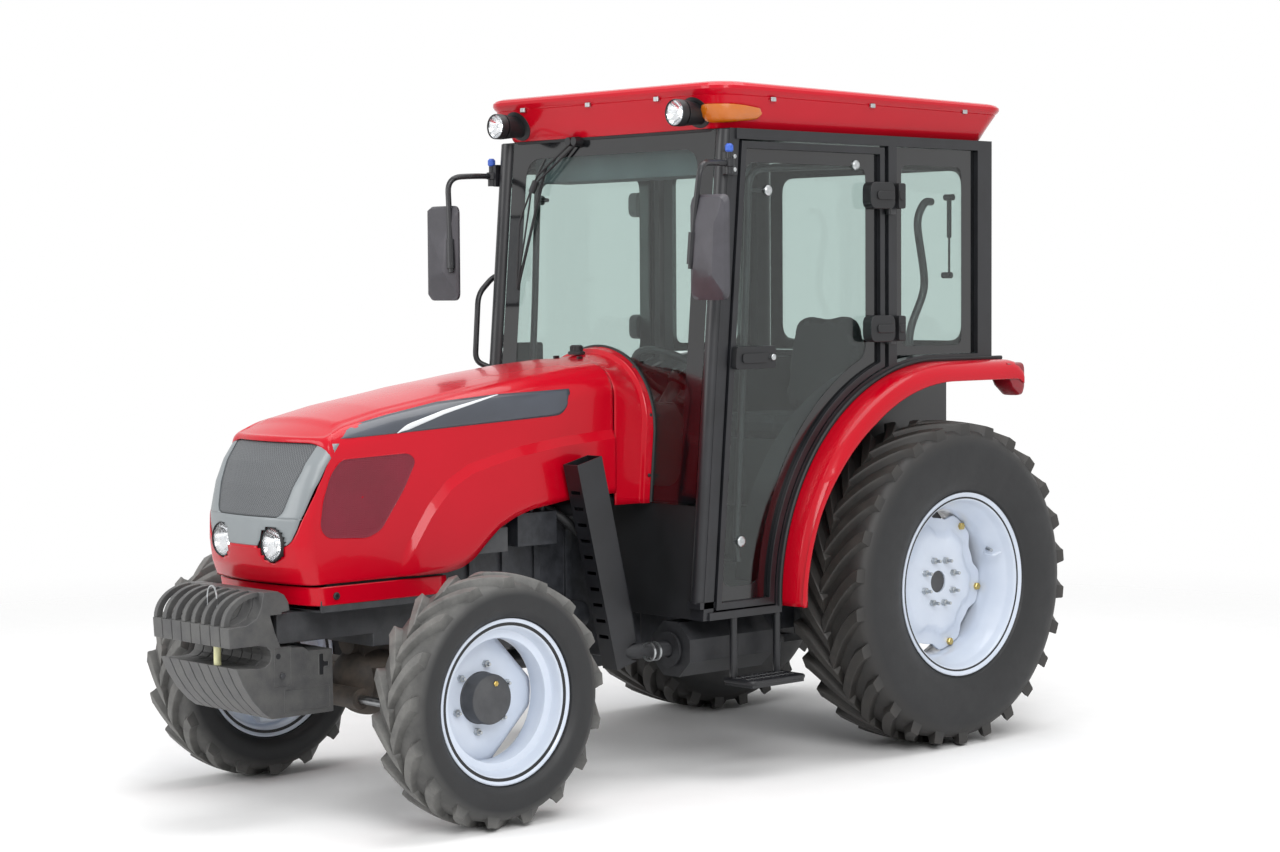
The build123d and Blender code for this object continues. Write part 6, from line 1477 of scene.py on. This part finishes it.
knob = lathe(arr([2.108, 0.009], [2.114, 0.014], [2.130, 0.014], [2.137, 0.008]), (0.618, ahead(1.058), 0), 20, 2)
bolts = [lathe(arr([0.605, 0.008], [0.612, 0.008], [0.613, 0.006]), (0, ahead(1.024), z), 6) for z in (2.052, 2.096)]
for side, hand in ((1, "left"), (-1, "right")):
    turned = (lambda shape: shape) if side > 0 else mirrored
    piece("mirror_" + hand, "root", (mirror_shell, [turned(head)]), (chrome, [turned(silver)]),
          (black_powder, [turned(s) for s in (arm, sleeve, stub, foot, pivot)]), (blue_plastic, [turned(knob)]),
          (bright_zinc, [turned(b) for b in bolts]), replaces=("mirrors",), sharp=14)

# %% Wiper, grab rail and vents
def out_front(x, z, high):
    """Point in front of the windscreen."""
    return (x, ahead(screen_ahead(z) + high), z)


wiper = [pipe(arr(out_front(-0.160, 2.178, 0.012), out_front(-0.364, 2.030, 0.034)), 0.0040, 8),
         pipe(arr(out_front(-0.190, 2.182, 0.012), out_front(-0.352, 2.060, 0.034)), 0.0040, 8),
         pipe(bent([out_front(-0.322, 2.125, 0.020), out_front(-0.372, 2.02, 0.036), out_front(-0.436, 1.90, 0.030),
                    out_front(-0.452, 1.66, 0.012)], 0.03), 0.0035, 8),
         pipe(bent([out_front(-0.372, 2.02, 0.036), out_front(-0.398, 1.92, 0.024), out_front(-0.450, 1.66, 0.012)], 0.03), 0.0035, 8),
         pipe(arr(out_front(-0.330, 2.10, 0.008), out_front(-0.452, 1.655, 0.008)), 0.0055, 8),
         pipe(arr(out_front(-0.356, 2.045, 0.030), out_front(-0.372, 2.005, 0.034)), 0.013, 10)]
hubs_w = [lathe(arr([ahead(1.028 + 0.034), 0.015], [ahead(1.028 + 0.012), 0.017], [ahead(1.027), 0.017]), (x, 0, 2.180), 16, 1)
          for x in (-0.160, -0.192)]
grab = pipe(bent([(-0.590, ahead(1.03), 1.712), (-0.622, ahead(1.05), 1.706), (-0.622, ahead(1.124), 1.640), (-0.622, ahead(1.141), 1.395),
                  (-0.590, ahead(1.10), 1.372)], 0.035), 0.0105, 12)
piece("wiper", "root", (soft_black, wiper + hubs_w), sharp=40)
piece("grab_rail", "root", (black_powder, [grab]), sharp=40)

rear_rail = pipe(bent([(0.50, ahead(-0.10), 1.968), (0.515, ahead(-0.045), 1.968), (0.52, ahead(0.005), 1.90), (0.52, ahead(-0.04), 1.70),
                       (0.515, ahead(-0.045), 1.64), (0.50, ahead(0.02), 1.50), (0.50, ahead(0.02), 1.42)], 0.05), 0.0145, 14)
strut = [pipe(arr([0.43, ahead(-0.285), 1.99], [0.43, ahead(-0.285), 1.84]), 0.009, 12),
         pipe(arr([0.43, ahead(-0.285), 1.84], [0.43, ahead(-0.285), 1.70]), 0.0045, 8),
         lathe(arr([0.40, 0.012], [0.44, 0.012]), (0, ahead(-0.285), 1.70), 12),
         lathe(arr([0.41, 0.012], [0.45, 0.012]), (0, ahead(-0.285), 1.99), 12)]
piece("rear_quarter_rails", "root", (black_powder, [rear_rail, mirrored(rear_rail)] + strut), sharp=40)
print("mirrors done")

# %% [markdown]
# ## Running gear
# Castings keep the CAD's shapes. Their edges are rounded, and each gets the paint, dust or bare metal
# that it has on the tractor.

# %% Castings and bars
for node, material, bevel in (
        ("front_frame", chassis_grey, 0.003), ("front_axle", dusty_iron, 0.004), ("knuckle_left", dusty_iron, 0.004),
        ("knuckle_right", dusty_iron, 0.004), ("engine", engine_paint, 0.004), ("gearbox", engine_paint, 0.006),
        ("drive_shaft", black_powder, 0.002), ("rear_axle", chassis_grey, 0.006), ("exhaust", sooty_black, 0.0015),
        ("steps", black_powder, 0.0015), ("drawbar", black_powder, 0.002), ("hitch_frame", black_powder, 0.002),
        ("steering_rod", bare_steel, 0.001), ("lift_arms", chassis_grey, 0.003), ("lift_rods", bare_steel, 0.001),
        ("lower_links", black_powder, 0.002), ("top_link", bare_steel, 0.001), ("pto_shaft", bare_steel, 0.001),
        ("seat_base", black_powder, 0.003), ("dashboard", soft_black, 0.010), ("steering_wheel", soft_black, 0.002),
        ("exhaust_guard", black_powder, 0.003)):
    dressed(node, material, bevel)

# %% [markdown]
# ## Front weights
# Eight plates hang side by side on the front bar. Each has a full-width block and foot, with a throat
# between them that ends in a round, and above the block a thin curved rib beside a pocket.

# %% Front weights
foot_side = [(2.664, 0.737), (2.614, 0.737), (2.588, 0.724), (2.573, 0.700), (2.568, 0.673), (2.598, 0.671), (2.598, 0.664),
             (2.641, 0.664), (2.624, 0.610), (2.602, 0.560), (2.519, 0.556), (2.500, 0.543), (2.409, 0.541), (2.407, 0.344),
             (2.640, 0.344), (2.672, 0.368), (2.710, 0.408), (2.742, 0.456), (2.768, 0.512), (2.690, 0.505), (2.662, 0.508),
             (2.645, 0.520), (2.639, 0.538), (2.643, 0.556), (2.658, 0.569), (2.684, 0.575), (2.790, 0.575), (2.794, 0.638),
             (2.728, 0.641), (2.692, 0.658), (2.674, 0.690)]
rib_a = np.linspace(0, 1, 12)
rib_out = np.stack([2.664 + 0.128 * np.sin(rib_a * np.pi / 2), 0.638 + 0.099 * np.cos(rib_a * np.pi / 2)], -1)
rib_in = np.stack([2.664 + 0.106 * np.sin(rib_a * np.pi / 2), 0.636 + 0.084 * np.cos(rib_a * np.pi / 2)], -1)[::-1]


def upright(points):
    """(d, z) points as (y, z)."""
    P = np.asarray(points, float)
    return np.stack([ahead(P[:, 0]), P[:, 1]], -1)


weights = []
for k in range(8):
    low = -0.2105 + 0.053 * k
    weights += [plate(upright(foot_side), low, low + 0.050), plate(upright(np.concatenate([rib_out, rib_in])), low + 0.002, low + 0.020)]
cast = piece("front_weight_plates", "root", (weight_grey, weights), replaces=("front_weights",), bevel=0.0025, segments=2, sharp=25)


def outline_bar(points, x, radius=0.0018):
    """Thin raised line round a closed (d, z) outline on a face at x."""
    P = upright(np.concatenate([points, points[:2]]))
    return pipe(np.stack([np.full(len(P), x), P[:, 0], P[:, 1]], -1), radius, 6)


face_x = 0.2105
panel = soft_outline([(2.628, 0.561), (2.567, 0.561), (2.567, 0.443), (2.628, 0.443)], 0.004, 3)
blank = soft_outline([(2.593, 0.429), (2.421, 0.429), (2.421, 0.360), (2.593, 0.360)], 0.004, 3)
slot = soft_outline([(2.462, 0.530), (2.443, 0.530), (2.443, 0.505), (2.425, 0.505), (2.425, 0.488), (2.443, 0.488), (2.443, 0.462),
                     (2.462, 0.462)], 0.004, 3)
marks = [outline_bar(panel, face_x), outline_bar(blank, face_x), outline_bar(slot, face_x)]
# the slot and the round pit are black plates on the face: painted shade in these hollows
pits = [plate(upright(slot), face_x - 0.002, face_x + 0.0004), lathe(arr([face_x - 0.002, 0.009], [face_x + 0.0006, 0.009]), (0, ahead(2.614), 0.536), 20),
        plate(upright(panel), face_x - 0.002, face_x + 0.0002)]
stud = lathe(arr([face_x, 0.010], [face_x + 0.006, 0.010], [face_x + 0.007, 0.007]), (0, ahead(2.601), 0.475), 6)
piece("weight_side_details", "root", (weight_grey, marks + [pits[2]] + [mirrored(m) for m in marks[:2]]), (soft_black, pits[:2]),
      (chassis_grey, [stud, mirrored(stud)]), sharp=40)
pin = lathe(arr([0.500, 0.0115], [0.585, 0.0115]), (0.075, ahead(2.745), 0), 20, 2)
loop_a = np.linspace(0.1, np.pi - 0.1, 12)
wire = np.stack([0.046 + 0.026 * np.cos(loop_a), np.full(12, ahead(2.742)), 0.712 + 0.040 * np.sin(loop_a)], -1)
wire = np.concatenate([wire[:1] - arr(0, 0, 0.045), wire, wire[-1:] - arr(0, 0, 0.045)])
piece("weight_pin", "root", (pale_yellow, [pin]), (bright_zinc, [pipe(wire, 0.0028, 8)]), sharp=40)

# %% Guard, exhaust and step details
band_low = ring_of(arr([1.150, 0.0925], [1.168, 0.0925], [1.168, 0.0955], [1.150, 0.0955]), (0.430, 0, 0.437), 8, 1)
clamps = []
for y in (ahead(1.235), ahead(1.262)):
    clamps.append(ring_of(arr([-0.004, 0.0275], [0.004, 0.0275], [0.004, 0.0325], [-0.004, 0.0325]), (0.430, y, 0.437), 28, 1))
collar = ring_of(arr([-0.003, 0.028], [0.006, 0.028], [0.006, 0.060], [-0.003, 0.060]), (0.430, ahead(1.175), 0.437), 36, 1)
piece("exhaust_clamps", "root", (bright_zinc, clamps), (sooty_black, [collar]), sharp=35)
studs = []
for d in np.linspace(0.80, 1.01, 10):
    for k, x in enumerate(np.linspace(0.580, 0.672, 5)):
        lean = 0.008 if k % 2 else -0.008
        studs.append(pipe(arr([x - 0.006, ahead(d) - lean * 0.7, 0.3385], [x + 0.006, ahead(d) + lean * 0.7, 0.3385]), 0.0022, 4))
edge = pipe(bent([(0.562, ahead(0.778), 0.332), (0.692, ahead(0.778), 0.332), (0.692, ahead(1.032), 0.332), (0.562, ahead(1.032), 0.332)], 0.02),
            0.008, 10)
piece("step_tread", "root", (black_powder, studs + [mirrored(s) for s in studs] + [edge, mirrored(edge)]), sharp=40)

pump_bits = [box((0.186, ahead(1.93), 0.800), (0.268, ahead(1.74), 0.880)), box((0.19, ahead(1.90), 0.880), (0.255, ahead(1.77), 0.905))]
caps = [lathe(arr([0.900, 0.013], [0.925, 0.013], [0.932, 0.009]), (0.235, ahead(1.71), 0), 16, 2)]
lines = [pipe(bent([(0.225, ahead(1.88 - 0.045 * k), 0.90), (0.232, ahead(1.88 - 0.045 * k), 0.955 - 0.01 * k),
                    (0.215, ahead(1.60), 0.965 - 0.01 * k), (0.19, ahead(1.55), 0.93)], 0.02), 0.0035, 8) for k in range(4)]
hose = pipe(bent([(0.20, ahead(1.52), 0.93), (0.27, ahead(1.45), 0.86), (0.30, ahead(1.32), 0.72), (0.25, ahead(1.25), 0.60)], 0.07), 0.017, 12)
bellows = [ring_of(arr([-0.006, 0.026], [0.0, 0.031], [0.006, 0.026], [0.0, 0.020]), (0.300, ahead(1.335), 0.70 + 0.013 * k), 20, 2) for k in range(11)]
piece("engine_dressing", "root", (chassis_grey, pump_bits), (blue_plastic, caps), (bare_steel, lines), (hose_rubber, [hose] + bellows),
      bevel=0.003, sharp=35)
print("chassis done")

# %% [markdown]
# ## The seat
# Cushion and backrest start as rounded blocks a little smaller than the CAD's. A cloth simulation with
# inner pressure swells them, a cap keeps each point within 24 mm of its start, and one subdivision
# smooths the result.

# %% Seat pads
seat_cloth = mottled("seat_fabric_charcoal", ("#17191c", "#222528"), 60, (0.75, 0.9), bump=0.35, bump_grain=2.2)


def pad(name, node, outline, low, high, axis, swell=0.024):
    """A pad swollen by simulated air between two flat covers."""
    made = piece(name, "root", (seat_cloth, [plate(outline, low, high, axis)]), smooth=False)
    made.modifiers.new("voxels", "REMESH").mode = "VOXEL"
    made.modifiers["voxels"].voxel_size = 0.006
    graph = bpy.context.evaluated_depsgraph_get()
    mesh = bpy.data.meshes.new_from_object(made.evaluated_get(graph))
    made.modifiers.clear()
    made.data = mesh
    before = np.zeros(len(mesh.vertices) * 3)
    mesh.vertices.foreach_get("co", before)
    cloth = made.modifiers.new("air", "CLOTH")
    cloth.settings.use_pressure, cloth.settings.uniform_pressure_force = True, 4.0
    cloth.settings.effector_weights.gravity = 0.0
    for frame_number in range(1, 21):
        bpy.context.scene.frame_set(frame_number)
    graph = bpy.context.evaluated_depsgraph_get()
    blown = made.evaluated_get(graph).data
    after = np.zeros_like(before)
    blown.vertices.foreach_get("co", after)
    made.modifiers.clear()
    step = (after - before).reshape(-1, 3)
    size = np.linalg.norm(step, axis=1, keepdims=True)
    step *= np.minimum(1, swell / np.maximum(size, 1e-9))
    mesh.vertices.foreach_set("co", (before.reshape(-1, 3) + step).ravel())
    bpy.context.scene.frame_set(1)
    mesh.shade_smooth()
    round_off = made.modifiers.new("smooth", "SUBSURF")
    round_off.levels = round_off.render_levels = 1
    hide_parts(node)
    return made


pad("seat_cushion_pad", "seat_cushion", rectangle(-0.220, 0.220, ahead(0.380), ahead(-0.020), 0.05), 1.124, 1.166, 2)
back_edge = soft_outline([(-0.215, 1.185), (0.215, 1.185), (0.205, 1.40), (0.150, 1.560), (-0.150, 1.560), (-0.205, 1.40)], 0.07, 8)
pad("seat_back_pad", "seat_back", back_edge, ahead(-0.066), ahead(-0.104), 1)
print("seat done")
